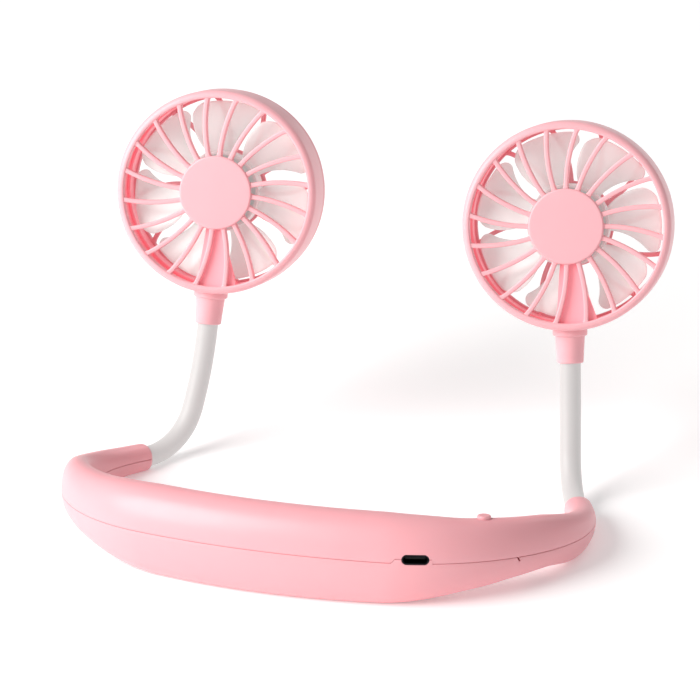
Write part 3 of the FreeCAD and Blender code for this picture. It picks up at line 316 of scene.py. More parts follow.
class Tone:
    """A socket of one material: sums and products of tones add Math nodes."""

    def __init__(self, tree, socket=None):
        self.tree = tree
        self.socket = socket

    def node(self, kind, settings=None, inputs=None, output=0):
        made = self.tree.nodes.new(kind)
        for name, value in (settings or {}).items():
            if name == "stops":
                for k, (place, colour) in enumerate(value):
                    stop = made.color_ramp.elements[k] if k < 2 else made.color_ramp.elements.new(place)
                    stop.position = place
                    stop.color = colour
            else:
                setattr(made, name, value)
        for name, value in (inputs or {}).items():
            if isinstance(value, Tone):
                self.tree.links.new(value.socket, made.inputs[name])
            else:
                made.inputs[name].default_value = value
        return Tone(self.tree, made.outputs[output])

    def maths(self, operation, first, second):
        return self.node("ShaderNodeMath", {"operation": operation}, {0: first, 1: second})

    def __add__(self, other):
        return self.maths("ADD", self, other)

    __radd__ = __add__

    def __sub__(self, other):
        return self.maths("SUBTRACT", self, other)

    def __rsub__(self, other):
        return self.maths("SUBTRACT", other, self)

    def __mul__(self, other):
        return self.maths("MULTIPLY", self, other)

    __rmul__ = __mul__

    def between(self, low, high):
        """Colour that goes from low to high as this value goes from 0 to 1."""
        return self.node("ShaderNodeMix", {"data_type": "RGBA"}, {0: self, 6: low, 7: high}, 2)

    def clouds(self, scale, detail=2.0):
        """Soft noise with this many bumps in a metre."""
        place = self.node("ShaderNodeTexCoord", output="Object")
        return self.node("ShaderNodeTexNoise", {}, {"Vector": place, "Scale": scale, "Detail": detail})

    def bump(self, strength, distance):
        sizes = {"Strength": strength, "Distance": distance, "Height": self}
        return self.node("ShaderNodeBump", {}, sizes)


def paint(red, green, blue):
    """Linear colour of an sRGB swatch."""
    shares = [c / 255 for c in (red, green, blue)]
    return tuple(s / 12.92 if s <= 0.04045 else ((s + 0.055) / 1.055) ** 2.4 for s in shares) + (1.0,)


def finish_of(name, recipe):
    """Material whose shader sockets take what the recipe gives for them."""
    material = bpy.data.materials.new(name)
    material.use_nodes = True
    tree = material.node_tree
    shader = tree.nodes["Principled BSDF"]
    for socket, value in recipe(Tone(tree)).items():
        if isinstance(value, Tone):
            tree.links.new(value.socket, shader.inputs[socket])
        else:
            shader.inputs[socket].default_value = value
    return material


def moulded_plastic(pale, deep, roughness, glow=0.12):
    """Recipe of a moulded plastic: a faint cloud in the tint, handling marks in the gloss, mould grain,
    and a share of the light that glows through its walls."""
    def recipe(tone):
        cloud = tone.clouds(38.0, 3.0)
        marks = tone.clouds(160.0, 4.0)
        fine = tone.clouds(4200.0)
        return {
            "Base Color": cloud.between(deep, pale),
            "Roughness": roughness + 0.16 * (marks - 0.5),
            "Normal": fine.bump(0.12, 0.00004),
            "Subsurface Weight": glow,
            "Subsurface Radius": (0.0016, 0.0008, 0.0008),
            "Subsurface Scale": 1.0,
            "Specular IOR Level": 0.42,
        }
    return recipe


def band_bar(heading, width, tall, y0, y1, height, count=16):
    """Bar with round ends through the band's outer wall, for cutting the socket's mouth."""
    radius = tall / 2
    half = width / 2 - radius
    loop = []
    for k in range(2 * count):
        angle = math.pi * (k + 0.5) / count - math.pi / 2
        side = half if k < count else -half
        loop.append((side + radius * math.cos(angle), height + radius * math.sin(angle)))
    at, way = seam_point(heading), inward(heading)
    along = way.cross(UP)
    return loft([[at + along * x + way * y + UP * z for x, z in loop] for y in (y0, y1)])


def upright_bar(at, radius, z0, z1, count=48):
    turns = [2 * math.pi * k / count for k in range(count)]
    ring = [Vector((at.x + radius * math.cos(a), at.y + radius * math.sin(a), 0)) for a in turns]
    return loft([[p + UP * z for p in ring] for z in (z0, z1)])


def screw_seat(heading):
    return -min(girth(heading)[2] - SHELL_WALL - SCREW_HEAD_HEIGHT, SCREW_SEAT_DEPTH)


def port_mouth():
    wide = PORT_WIDTH + 2 * PORT_CLEARANCE
    tall = PORT_TALL + 2 * PORT_CLEARANCE
    return piece("mouth", [band_bar(PORT_HEADING, wide, tall, *PORT_CUT, PORT_RISE)], shell_pink)


def pry_slot():
    turn = Matrix.Rotation(math.radians(PRY_SLANT), 4, inward(PRY_HEADING))
    at, way = seam_point(PRY_HEADING), inward(PRY_HEADING)
    along = way.cross(UP)
    wide, deep, tall = PRY_SIZE
    rows = []
    for y in (-deep, deep):
        corners = [(-wide / 2, -tall), (wide / 2, -tall), (wide / 2, tall), (-wide / 2, tall)]
        rows.append([at + turn @ (along * x + UP * z) + way * y for x, z in corners])
    return piece("pry", [loft(rows)], shell_pink)


shell_pink = finish_of("shell_pink", moulded_plastic(paint(247, 178, 184), paint(244, 170, 177), 0.36))
stations = band_stations()
lower_shell = piece("lower_shell", [loft([shell_loop(h, pinch, False) for h, pinch in stations])], shell_pink)
for vertex in lower_shell.data.vertices:
    vertex.co.z = max(vertex.co.z, 0.0)
wells, bosses = [], []
for heading in SCREW_HEADINGS:
    at, seat = middle_point(heading), screw_seat(heading)
    foot = SHELL_WALL * 0.6 - girth(heading)[2]
    bosses.append(upright_bar(at, SCREW_WELL_RADIUS + BOSS_WALL, foot, seat + SCREW_GRIP))
    wells.append(upright_bar(at, SCREW_WELL_RADIUS, -CUT_PAST, seat))
    wells.append(upright_bar(at, SCREW_HOLE_RADIUS, seat - CUT_LAP, seat + CUT_PAST))
carve(lower_shell, "UNION", piece("bosses", bosses, shell_pink))
for part in wells:
    carve(lower_shell, "DIFFERENCE", piece("well", [part], shell_pink))
carve(lower_shell, "DIFFERENCE", port_mouth())
carve(lower_shell, "DIFFERENCE", pry_slot())
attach(lower_shell, "band")
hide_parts("band_lower_shell")


# Upper shell of the band: the crest of the C, from nose to nose.
# The same moulded pink plastic, pressed over the lower shell's lip with a hairline seam that steps up
# at the charging socket. A round hole in the right corner takes the power button.

BUTTON_HEADING = 45.0
BUTTON_INSET = 1.0
BUTTON_RADIUS = 2.4
BUTTON_CLEARANCE = 0.2
BUTTON_CUT = (5.0, 20.0)

upper_shell = piece("upper_shell", [loft([shell_loop(h, pinch, True) for h, pinch in stations])], shell_pink)
button_at = middle_point(BUTTON_HEADING) + inward(BUTTON_HEADING) * BUTTON_INSET
button_hole = upright_bar(button_at, BUTTON_RADIUS + BUTTON_CLEARANCE, *BUTTON_CUT)
carve(upper_shell, "DIFFERENCE", piece("button_hole", [button_hole], shell_pink))
carve(upper_shell, "DIFFERENCE", port_mouth())
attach(upper_shell, "band")
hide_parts("band_upper_shell")


# Charging socket: a drawn steel shell with a dark plating and a black moulded tongue in it.
# It is soldered to the circuit board and looks out through the mouth in the two band shells.

def drawn_metal(colour, roughness):
    """Recipe of a plated or drawn metal: fine scratches and a little tarnish."""
    def recipe(tone):
        tarnish = tone.clouds(420.0, 4.0)
        scratches = tone.clouds(2600.0, 3.0)
        dull = tuple(0.72 * c for c in colour[:3]) + (1.0,)
        return {
            "Base Color": tarnish.between(colour, dull),
            "Metallic": 1.0,
            "Roughness": roughness + 0.2 * (tarnish - 0.5),
            "Normal": scratches.bump(0.08, 0.00003),
        }
    return recipe


def dress(node, finish):
    """Gives a piece of the frame its finish."""
    shown = frame["nodes"][node]
    shown.data.materials.clear()
    shown.data.materials.append(finish)


steel = finish_of("steel", drawn_metal(paint(196, 196, 200), 0.32))
dark_nickel = finish_of("dark_nickel", drawn_metal(paint(52, 52, 57), 0.42))
black_plastic = finish_of("black_plastic", moulded_plastic(paint(26, 26, 30), paint(18, 18, 21), 0.5))
dress("usb_socket_shell", dark_nickel)
dress("usb_socket_tongue", black_plastic)


# Power button: a small pink cap with a soft rim that stands proud of the crest of the right corner.
# Moulded with a flange that keeps it under the shell and a stem that presses the switch's plunger.

BUTTON_PROUD = 1.1
BUTTON_SOFT = 0.7
BUTTON_DISH = 0.12
BUTTON_FLANGE = (0.9, 0.8)
BUTTON_STEM_RADIUS = 1.4
BUTTON_PLAY = 0.1
BOARD_TOP = PORT_RISE - PORT_TALL / 2 - BUTTON_PLAY
SWITCH_HEIGHT = 3.4
PLUNGER_HEIGHT = 1.4


def lathe(profile, steps, axis):
    """Ring skin from a closed (radius, height) profile turned about the z or the y axis."""
    rows = []
    for k in range(steps):
        angle = 2 * math.pi * k / steps
        c, s = math.cos(angle), math.sin(angle)
        if axis == "Z":
            rows.append([Vector((r * c, r * s, h)) for r, h in profile])
        else:
            rows.append([Vector((r * c, h, r * s)) for r, h in profile])
    return loft(rows, ring=True)


def rounded(corners, pieces=6):
    """Closed profile through (radius, height) corners, where a third value rounds that corner."""
    places = [Vector(c[:2]) for c in corners]
    profile = []
    for k, corner in enumerate(corners):
        here = places[k]
        if len(corner) < 3:
            profile.append(tuple(here))
            continue
        before = (places[k - 1] - here).normalized()
        after = (places[(k + 1) % len(corners)] - here).normalized()
        half = before.angle(after) / 2
        centre = here + (before + after).normalized() * (corner[2] / math.sin(half))
        start = here + before * (corner[2] / math.tan(half)) - centre
        end = here + after * (corner[2] / math.tan(half)) - centre
        turn = start.angle_signed(end)
        for n in range(pieces + 1):
            angle = -turn * n / pieces
            c, s = math.cos(angle), math.sin(angle)
            profile.append((centre.x + start.x * c - start.y * s, centre.y + start.x * s + start.y * c))
    return profile


crest = girth(BUTTON_HEADING)[1]
button_top = crest + BUTTON_PROUD
seat = crest - SHELL_WALL - BUTTON_PLAY
plunger_top = BOARD_TOP + SWITCH_HEIGHT + PLUNGER_HEIGHT
cap_profile = rounded([
    (0, button_top - BUTTON_DISH),
    (BUTTON_RADIUS * 0.55, button_top - BUTTON_DISH * 0.6),
    (BUTTON_RADIUS, button_top, BUTTON_SOFT),
    (BUTTON_RADIUS, seat),
    (BUTTON_RADIUS + BUTTON_FLANGE[0], seat),
    (BUTTON_RADIUS + BUTTON_FLANGE[0], seat - BUTTON_FLANGE[1]),
    (BUTTON_STEM_RADIUS, seat - BUTTON_FLANGE[1]),
    (BUTTON_STEM_RADIUS, plunger_top),
    (0, plunger_top),
])
button_place = TABLE @ Matrix.Translation(button_at)
button = piece("button_cap", [lathe(cap_profile, 64, "Z")], shell_pink, button_place)
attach(button, "power_button")
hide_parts("power_button")


# What the band holds: the battery cell in its foil with a foam pad, the circuit board with its switch,
# leads in soft jackets and the four plated screws. They lie under the shells and show only from below
# or when the band is opened.

def plain_coat(pale, deep, roughness, scale, relief):
    """Recipe of a stained or coated surface: two tones in patches of this scale, with relief to match."""
    def recipe(tone):
        patch = tone.clouds(scale, 5.0)
        return {
            "Base Color": patch.between(deep, pale),
            "Roughness": roughness + 0.25 * (patch - 0.5),
            "Normal": patch.bump(0.3, relief),
        }
    return recipe


board_green = finish_of("board_green", plain_coat(paint(34, 110, 66), paint(20, 78, 44), 0.4, 900.0, 0.00003))
cell_foil = finish_of("cell_foil", drawn_metal(paint(176, 190, 205), 0.4))
foam = finish_of("foam", plain_coat(paint(70, 70, 74), paint(38, 38, 42), 0.95, 1800.0, 0.0003))
jacket = finish_of("jacket", moulded_plastic(paint(238, 214, 213), paint(230, 202, 201), 0.45))
white_plastic = finish_of("white_plastic", moulded_plastic(paint(226, 222, 214), paint(212, 208, 200), 0.45))
for node, finish in {
    "shell_screws": steel,
    "battery_cell": cell_foil,
    "battery_pad": foam,
    "battery_leads": jacket,
    "control_board": board_green,
    "switch_body": black_plastic,
    "switch_plunger": white_plastic,
    "left_fan_leads": jacket,
    "right_fan_leads": jacket,
    "left_neck_anchor": white_plastic,
    "right_neck_anchor": white_plastic,
}.items():
    dress(node, finish)


# Necks: a soft white silicone sleeve over a bendable annealed wire and two leads, from each nose of the
# band up to the foot of a fan head. The sleeve is extruded, dull and a little dusty, and it is drawn in
# two lengths that meet at the middle of the neck.

HEAD_HEIGHT = 48.2
SLEEVE_RADII = (3.7, 2.5)
SLEEVE_ENDS = (8.0, 5.6)
CORE_RADIUS = 1.0
CORE_ENDS = (12.0, 11.0)
LEAD_RADIUS = 0.5
LEAD_OFFSET = 1.75
NECK_STEP = 1.0
SIDES = {"left": -1, "right": 1}


def silicone(tone):
    """Recipe of the sleeves, whose emission stands for the light that goes round inside them."""
    cloud = tone.clouds(90.0, 3.0)
    dust = tone.clouds(2400.0, 4.0)
    return {
        "Base Color": cloud.between(paint(153, 151, 150), paint(159, 157, 156)),
        "Roughness": 0.5 + 0.2 * (dust - 0.5),
        "Normal": dust.bump(0.1, 0.00005),
        "Emission Color": cloud.between((1, 0.96, 0.95, 1), (1, 0.98, 0.97, 1)),
        "Emission Strength": 0.33,
    }


def head_place(side):
    """Frame of a fan head in metres: y along the fan's axis to the rear, z up the stem."""
    spin = joints[side + "_impeller_spin"]
    stem = Vector(joints[side + "_head_swivel"]["axis"]).normalized()
    rear = Vector(spin["axis"]).normalized()
    across = rear.cross(stem).normalized()
    place = Matrix((across, rear, stem)).transposed().to_4x4()
    place.translation = Vector(spin["pos_m"])
    return place


def arc_points(start, way, end):
    """Points along the arc that leaves start along way and reaches end, and the way it arrives."""
    chord = end - start
    side = (chord - way * chord.dot(way)).normalized()
    half = math.atan2(chord.dot(side), chord.dot(way))
    radius = chord.length / (2 * math.sin(half))
    count = math.ceil(2 * half * radius / NECK_STEP)
    turns = [2 * half * k / count for k in range(count + 1)]
    points = [start + (way * math.sin(t) + side * (1 - math.cos(t))) * radius for t in turns]
    return points, way * math.cos(2 * half) + side * math.sin(2 * half)


def neck_line(side, tail, rise):
    """Points of a neck in the band's frame, in its two lengths: out of the nose, and up to the head."""
    sign = SIDES[side]
    heading = sign * NOSE_HEADING
    nose = middle_point(heading) + UP * BORE_HEIGHT
    way = UP.cross(-inward(heading)) * sign
    back = SEAM_ARCS[-1][0] - girth(heading)[0] / 2
    count = math.ceil(tail / NECK_STEP)
    start = []
    for k in range(count, 0, -1):
        turn = heading - sign * math.degrees(tail * k / count / back)
        start.append(nose + (inward(heading) - inward(turn)) * back)
    head = STAND.inverted() @ Matrix.Scale(1 / MM, 4) @ head_place(side)
    stem = head.to_3x3().col[2].normalized()
    foot = head.translation - stem * HEAD_HEIGHT
    span, both = foot - nose, way + stem
    a, b = both.dot(both) - 4, -2 * span.dot(both)
    reach = (-b - math.sqrt(b * b - 4 * a * span.dot(span))) / (2 * a)
    meet = (nose + foot + (way - stem) * reach) / 2
    lower, onward = arc_points(nose, way, meet)
    upper = arc_points(meet, onward, foot)[0]
    count = math.ceil(rise / NECK_STEP)
    end = [foot + stem * (rise * k / count) for k in range(1, count + 1)]
    return start + lower, upper + end


def run_along(line, loop):
    """Rows of a closed (across, over) loop carried along a line without twist."""
    rows = []
    across = None
    for k, point in enumerate(line):
        way = (line[min(k + 1, len(line) - 1)] - line[max(k - 1, 0)]).normalized()
        if across is None:
            across = way.cross(UP).normalized()
        across = (across - way * across.dot(way)).normalized()
        over = across.cross(way)
        rows.append([point + across * x + over * y for x, y in loop])
    return rows


def circle(radius, count, x=0.0):
    turns = [2 * math.pi * k / count for k in range(count)]
    return [(x + radius * math.cos(t), radius * math.sin(t)) for t in turns]


def pipe(line, outer, inner, count=48):
    """Tube with square ends along a line."""
    rows = run_along(line, circle(outer, count))
    bore = run_along(line, circle(inner, count))
    return loft(rows + bore[::-1], ring=True)


white_silicone = finish_of("white_silicone", silicone)
wire_grey = finish_of("wire_grey", drawn_metal(paint(150, 148, 146), 0.45))
for side in SIDES:
    sleeve = neck_line(side, *SLEEVE_ENDS)
    core = neck_line(side, *CORE_ENDS)
    bare = neck_line(side, 0, 0)
    stops = [TABLE @ p for p in (bare[0][0], bare[1][0], bare[1][-1])]
    for k, length in enumerate(("lower", "upper")):
        runs = {
            "sleeve": ([pipe(sleeve[k], *SLEEVE_RADII)], white_silicone, "white_silicone"),
            "core": ([loft(run_along(core[k], circle(CORE_RADIUS, 20)))], wire_grey, "annealed_wire"),
            "leads": ([loft(run_along(core[k], circle(LEAD_RADIUS, 14, shift)))
                       for shift in (-LEAD_OFFSET, LEAD_OFFSET)], jacket, "lead_jacket"),
        }
        for kind, (parts, finish, slot) in runs.items():
            made = piece("_".join((side, kind, length)), parts, finish)
            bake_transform(made)
            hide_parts(side + "_neck_" + kind)


# Swivel pins: turned brass, crimped on the top of each neck's wire, on which the fan head turns.
# They sit inside the collars.

brass = finish_of("brass", drawn_metal(paint(214, 176, 104), 0.3))
for side in SIDES:
    dress(side + "_swivel_pin", brass)


# Stem collars: the pink socket under each fan head that the sleeve runs up into.
# Moulded with a slight taper, a softened foot and a flange whose top is hollowed to sit on the drum,
# with a short plug that is glued in the hole of the drum's wall.

HEAD_RADIUS = 36.5
HEAD_WALL = 1.3
COLLAR_RADII = (4.65, 5.2)
FLANGE_RADIUS = 6.1
FLANGE_HEIGHT = 2.2
SOCKET_RADIUS = 3.85
SOCKET_DEPTH = 7.2
PIN_BORE = 2.75
PLUG_RADIUS = 4.2
PLUG_PROUD = 0.4
SADDLE_GAP = 0.1


def collar_skin():
    """Collar turned about the stem, with the top of its flange let down on the round of the drum."""
    foot, top = -HEAD_HEIGHT, -HEAD_RADIUS - FLANGE_HEIGHT
    plug_top = -HEAD_RADIUS + HEAD_WALL + PLUG_PROUD
    profile = rounded([
        (SOCKET_RADIUS, foot, 0.3),
        (COLLAR_RADII[0], foot, 0.45),
        (COLLAR_RADII[1], top, 0.25),
        (FLANGE_RADIUS, top, 0.6),
        (FLANGE_RADIUS, 0),
        (PLUG_RADIUS, 0),
        (PLUG_RADIUS, plug_top, 0.2),
        (PIN_BORE, plug_top),
        (PIN_BORE, foot + SOCKET_DEPTH),
        (SOCKET_RADIUS, foot + SOCKET_DEPTH),
    ])
    points, faces = lathe(profile, 96, "Z")
    for p in points:
        if p.z == 0:
            p.z = -math.sqrt((HEAD_RADIUS + SADDLE_GAP) ** 2 - p.x ** 2)
    return points, faces


grille_tint = moulded_plastic(paint(251, 188, 194), paint(248, 180, 187), 0.34, 0.08)
grille_pink = finish_of("grille_pink", grille_tint)
for side in SIDES:
    place = head_place(side) @ Matrix.Scale(MM, 4)
    collar = piece(side + "_collar", [collar_skin()], grille_pink, place)
    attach(collar, side + "_head")
    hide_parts(side + "_stem_collar")


# Front grilles: the front of each drum with its ring, twenty curved bars and the domed disc that hides
# the motor. Moulded in one in pale pink, with the cup that grips the motor behind the disc and the
# flared web that brings the leads down to the stem.

HEAD_DEPTH = 19.5
FRONT_Y = -HEAD_DEPTH / 2
REAR_Y = HEAD_DEPTH / 2
SPLIT_Y = FRONT_Y + 14.4
FACE_BORE = 33.8
FACE_ROUND = 2.0
FACE_THICK = 2.6
SPOKES = 20
SPOKE_SWEEP = 7.0
SPOKE_DEPTH = 2.4
SPOKE_Y = FRONT_Y + 0.3
BAR_WIDTH = 1.6
BAR_SOFT = 0.45
BAR_FLARE = 0.35
DISC_RADIUS = 13.2
DISC_DOME = 0.9
DISC_EDGE = 0.7
DISC_WALL = 1.2
DISC_FLOOR = SPOKE_Y + DISC_WALL - DISC_EDGE
CUP_RADII = (9.3, 8.1)
CUP_LENGTH = 6.6
WEB_TOP = -8.4
WEB_LEFT = (2.1, 4.1)
WEB_RIGHT = (1.8, 11.0)
WEB_Y = (-7.35, -4.65)
DUCT_HALF = 1.45
DUCT_Y = (-6.65, -5.35)
DUCT_FOOT = -35.1
DUCT_TOP = -9.4
WAY_OUT_TOP = -31.2
STEM_HOLE_RADIUS = 4.3


def guard_bar(inner, outer, sweep, y0, y1):
    """Curved bar of a guard, from a hub to a ring, with softened edges and flared roots."""
    bend = math.radians(abs(sweep))
    hand = math.copysign(1, sweep)
    half = math.atan2(outer * math.sin(bend), outer * math.cos(bend) - inner)
    radius = math.hypot(outer * math.sin(bend), outer * math.cos(bend) - inner) / (2 * math.sin(half))
    count = 26
    rows = []
    for k in range(count + 1):
        share = k / count
        turn = 2 * half * share
        centre = Vector((inner + radius * math.sin(turn), 0, -hand * radius * (1 - math.cos(turn))))
        side = Vector((math.sin(turn), 0, hand * math.cos(turn)))
        ends = max(0, 1 - share * 12) ** 2 + max(0, 1 - (1 - share) * 12) ** 2
        wide = BAR_WIDTH / 2 + BAR_FLARE * ends
        front, rear = BAR_SOFT, BAR_SOFT / 2
        loop = rounded([(wide, y0, front), (wide, y1, rear), (-wide, y1, rear), (-wide, y0, front)], 4)
        rows.append([centre + side * x + Vector((0, y, 0)) for x, y in loop])
    return loft(rows)


def spun(skin, count, first=0.0):
    """Copies of a skin turned evenly about the fan's axis, clockwise seen from the front."""
    points, faces = skin
    turns = [Matrix.Rotation(math.radians(first + 360 * k / count), 4, "Y") for k in range(count)]
    return [([turn @ p for p in points], faces) for turn in turns]


def block(x, y, z):
    corners = [(x[0], y[0]), (x[1], y[0]), (x[1], y[1]), (x[0], y[1])]
    return loft([[Vector((a, b, height)) for a, b in corners] for height in z])


def disc_profile():
    """Half section of the domed disc with the motor's cup behind it."""
    edge_radius = DISC_RADIUS - DISC_EDGE
    profile = []
    for k in range(13):
        r = edge_radius * k / 12
        profile.append((r, SPOKE_Y - DISC_DOME + (DISC_DOME - DISC_EDGE) * (r / edge_radius) ** 2))
    for k in range(1, 9):
        angle = math.pi / 2 * k / 8
        profile.append((edge_radius + DISC_EDGE * math.sin(angle), SPOKE_Y - DISC_EDGE * math.cos(angle)))
    return profile + rounded([
        (DISC_RADIUS, SPOKE_Y + SPOKE_DEPTH, 0.2),
        (DISC_RADIUS - DISC_WALL, SPOKE_Y + SPOKE_DEPTH, 0.2),
        (DISC_RADIUS - DISC_WALL, DISC_FLOOR),
        (CUP_RADII[0], DISC_FLOOR),
        (CUP_RADII[0], DISC_FLOOR + CUP_LENGTH, 0.3),
        (CUP_RADII[1], DISC_FLOOR + CUP_LENGTH, 0.3),
        (CUP_RADII[1], DISC_FLOOR),
        (0, DISC_FLOOR),
    ])


def web_skin():
    """Web behind the bars that flares from the cup to the drum and ends inside the drum's wall."""
    front, rear = WEB_Y
    rows = []
    for k in range(13):
        share = k / 12
        right = WEB_RIGHT[0] + (WEB_RIGHT[1] - WEB_RIGHT[0]) * share
        left = -WEB_LEFT[0] - (WEB_LEFT[1] - WEB_LEFT[0]) * share
        row = []
        for x, y in rounded([(right, front), (right, rear, 0.6), (left, rear, 0.6), (left, front)], 4):
            foot = -math.sqrt((HEAD_RADIUS - HEAD_WALL / 2) ** 2 - x ** 2)
            row.append(Vector((x, y, WEB_TOP + (foot - WEB_TOP) * share)))
        rows.append(row)
    return loft(rows)


def glowing_plastic(tone):
    """Recipe of the drum's inside, with a painted pink glow in its emission that stands for the daylight
    coming through the pink wall.
    """
    cloud = tone.clouds(38.0, 3.0)
    return {
        "Base Color": cloud.between(paint(247, 172, 180), paint(250, 180, 187)),
        "Roughness": 0.4 + 0.16 * (tone.clouds(160.0, 4.0) - 0.5),
        # Painted glow: a saturated pink emission that stands for the daylight coming through the drum's wall.
        "Emission Color": cloud.between((1.0, 0.1, 0.16, 1), (1.0, 0.13, 0.19, 1)),
        "Emission Strength": 0.2,
    }


def paint_inside_glow(body, place, least):
    """Gives the faces inside the drum, from a least radius to its wall, the painted pink glow of the inside.
    """
    body.data.materials.append(inside_painted_glow)
    into = place.inverted()
    for face in body.data.polygons:
        at = into @ face.center
        reach = math.hypot(at.x, at.z)
        if least < reach < HEAD_RADIUS - HEAD_WALL + 0.3 and at.y > WEB_Y[0] - 0.1:
            face.material_index = 1


def front_grille(side):
    inside = HEAD_RADIUS - HEAD_WALL
    ring = rounded([
        (FACE_BORE, FRONT_Y, 0.6),
        (HEAD_RADIUS, FRONT_Y, FACE_ROUND),
        (HEAD_RADIUS, SPLIT_Y, 0.2),
        (inside, SPLIT_Y, 0.2),
        (inside, SPOKE_Y + FACE_THICK),
        (FACE_BORE, SPOKE_Y + FACE_THICK, 0.3),
    ], 8)
    bar = guard_bar(DISC_RADIUS - 0.5, FACE_BORE + 0.6, SPOKE_SWEEP, SPOKE_Y, SPOKE_Y + SPOKE_DEPTH)
    across = (-DUCT_HALF, DUCT_HALF)
    below = -HEAD_RADIUS - CUT_PAST
    bore = [(0, below), (STEM_HOLE_RADIUS, below), (STEM_HOLE_RADIUS, -FACE_BORE), (0, -FACE_BORE)]
    place = head_place(side) @ Matrix.Scale(MM, 4)
    grille = piece(side + "_grille", [lathe(ring, 192, "Y")], grille_pink, place)
    for name, parts in {
        "web": [web_skin()],
        "disc": [lathe(disc_profile(), 128, "Y")],
        "bars": spun(bar, SPOKES),
    }.items():
        carve(grille, "UNION", piece(name, parts, grille_pink, place))
    for name, part in {
        "duct": block(across, DUCT_Y, (DUCT_FOOT, DUCT_TOP)),
        "way_out": block(across, (DUCT_Y[0], SPLIT_Y + 1), (DUCT_FOOT, WAY_OUT_TOP)),
        "stem_hole": lathe(bore, 64, "Z"),
    }.items():
        carve(grille, "DIFFERENCE", piece(name, [part], grille_pink, place))
    # The faces inside the drum take the painted pink glow.
    paint_inside_glow(grille, place, DISC_RADIUS)
    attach(grille, side + "_head")
    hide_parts(side + "_front_grille")


# Material with a painted pink glow for the faces inside the drums.
inside_painted_glow = finish_of("inside_painted_glow", glowing_plastic)
for side in SIDES:
    front_grille(side)


# Motors: small brushed motors in drawn steel cans, pressed into the cups behind the front discs.
# Sintered bushings, ferrite magnets, wound armatures on steel shafts and a moulded end cap with leads.

ferrite = finish_of("ferrite", plain_coat(paint(62, 60, 62), paint(40, 39, 41), 0.7, 2600.0, 0.00004))
for side in SIDES:
    for name, finish in {
        "motor_can": steel,
        "motor_bushing": brass,
        "motor_magnets": ferrite,
        "motor_armature": wire_grey,
        "motor_shaft": steel,
        "motor_end_cap": black_plastic,
        "motor_leads": jacket,
    }.items():
        dress(side + "_" + name, finish)


# Impellers: seven broad blades on a hub that is open to the front and cups the motor, moulded in one in
# a milky, see-through plastic and pressed on the motor's shaft. Each blade is a twisted petal with a
# full belly on its leading side, a horn on the other and thin edges.

BLADES = 7
TIP_RADIUS = 32.4
BLADE_THICK = 1.0
BLADE_SPAN = 50.0
BLADE_RISE = 8.2
BLADE_CAMBER = 0.9
BLADE_MIDDLE = 1.1
BELLY = ((13.8, 16.0), (22.0, 24.0), (29.0, 21.0))
SHOULDER = ((29.0, 21.0), (31.3, 16.5), (TIP_RADIUS, 12.0))
WAIST = ((13.8, -15.0), (21.0, -17.0), (28.5, -25.0))
HORN = ((28.5, -25.0), (30.45, -25.0), (TIP_RADIUS, -20.0))
BLADE_TURNS = {"left": 95.0, "right": -97.0}
HUB_RADIUS = 14.4
HUB_WALL = 1.2
HUB_Y = (-3.4, 5.6)
HUB_BOSS = (3.0, 3.0)
SHAFT_HOLE = (1.05, 4.95)


def milky_plastic(tone):
    """Recipe of the blades, half clear, whose emission stands for the light that goes through them."""
    cloud = tone.clouds(70.0, 3.0)
    fine = tone.clouds(3000.0)
    return {
        "Base Color": cloud.between(paint(232, 242, 240), paint(238, 246, 244)),
        "Roughness": 0.3 + 0.15 * (cloud - 0.5),
        "Normal": fine.bump(0.06, 0.00004),
        "Alpha": 0.72 + 0.12 * (cloud - 0.5),
        "Emission Color": cloud.between(paint(225, 240, 238), paint(232, 245, 243)),
        "Emission Strength": 0.12,
    }


def arc_through(first, second, third, count):
    """Points (radius, angle) along the arc through three points that are given so."""
    a, b, c = [Matrix.Rotation(math.radians(t), 2) @ Vector((r, 0)) for r, t in (first, second, third)]
    d = 2 * (a.x * (b.y - c.y) + b.x * (c.y - a.y) + c.x * (a.y - b.y))
    sums = a.length_squared, b.length_squared, c.length_squared
    centre = Vector((sums[0] * (b.y - c.y) + sums[1] * (c.y - a.y) + sums[2] * (a.y - b.y),
                     sums[0] * (c.x - b.x) + sums[1] * (a.x - c.x) + sums[2] * (b.x - a.x))) / d
    turn = (a - centre).angle_signed(b - centre) + (b - centre).angle_signed(c - centre)
    points = []
    for k in range(count + 1):
        at = centre + Matrix.Rotation(-turn * k / count, 2) @ (a - centre)
        points.append((at.length, math.degrees(math.atan2(at.y, at.x))))
    return points


def blade_skin():
    """One blade as two faces that meet in a thin rounded rim."""
    belly = arc_through(*BELLY, 16) + arc_through(*SHOULDER, 8)[1:]
    horn = arc_through(*WAIST, 16) + arc_through(*HORN, 8)[1:]
    wide_steps = 22
    points = []
    for face in (-1, 1):
        for i, ((r0, a0), (r1, a1)) in enumerate(zip(horn, belly)):
            for j in range(wide_steps + 1):
                share = 0.5 + math.sin(math.pi / 2 * (2 * j / wide_steps - 1)) / 2
                radius = r0 + (r1 - r0) * share
                angle = math.radians(a0 + (a1 - a0) * share)
                x, z = radius * math.cos(angle), radius * math.sin(angle)
                q = z / (x * math.tan(math.radians(BLADE_SPAN / 2)))
                edge = min(share, 1 - share) * radius * math.radians(a1 - a0) / BLADE_THICK
                tip = (TIP_RADIUS - radius) / BLADE_THICK
                thin = math.sqrt(1 - max(0.0, 1 - edge, 1 - tip) ** 2) if min(edge, tip) > 0.001 else 0.0
                y = BLADE_MIDDLE - BLADE_RISE / 2 * q - BLADE_CAMBER * (1 - q * q)
                points.append(Vector((x, y + face * thin * BLADE_THICK / 2, z)))
    wide = wide_steps + 1
    count = wide * len(belly)
    faces = []
    for shift in (0, count):
        for i in range(len(belly) - 1):
            for j in range(wide_steps):
                a = shift + i * wide + j
                faces.append((a, a + 1, a + 1 + wide, a + wide))
    faces.append(tuple(range(wide)) + tuple(range(count + wide - 2, count, -1)))
    return points, faces


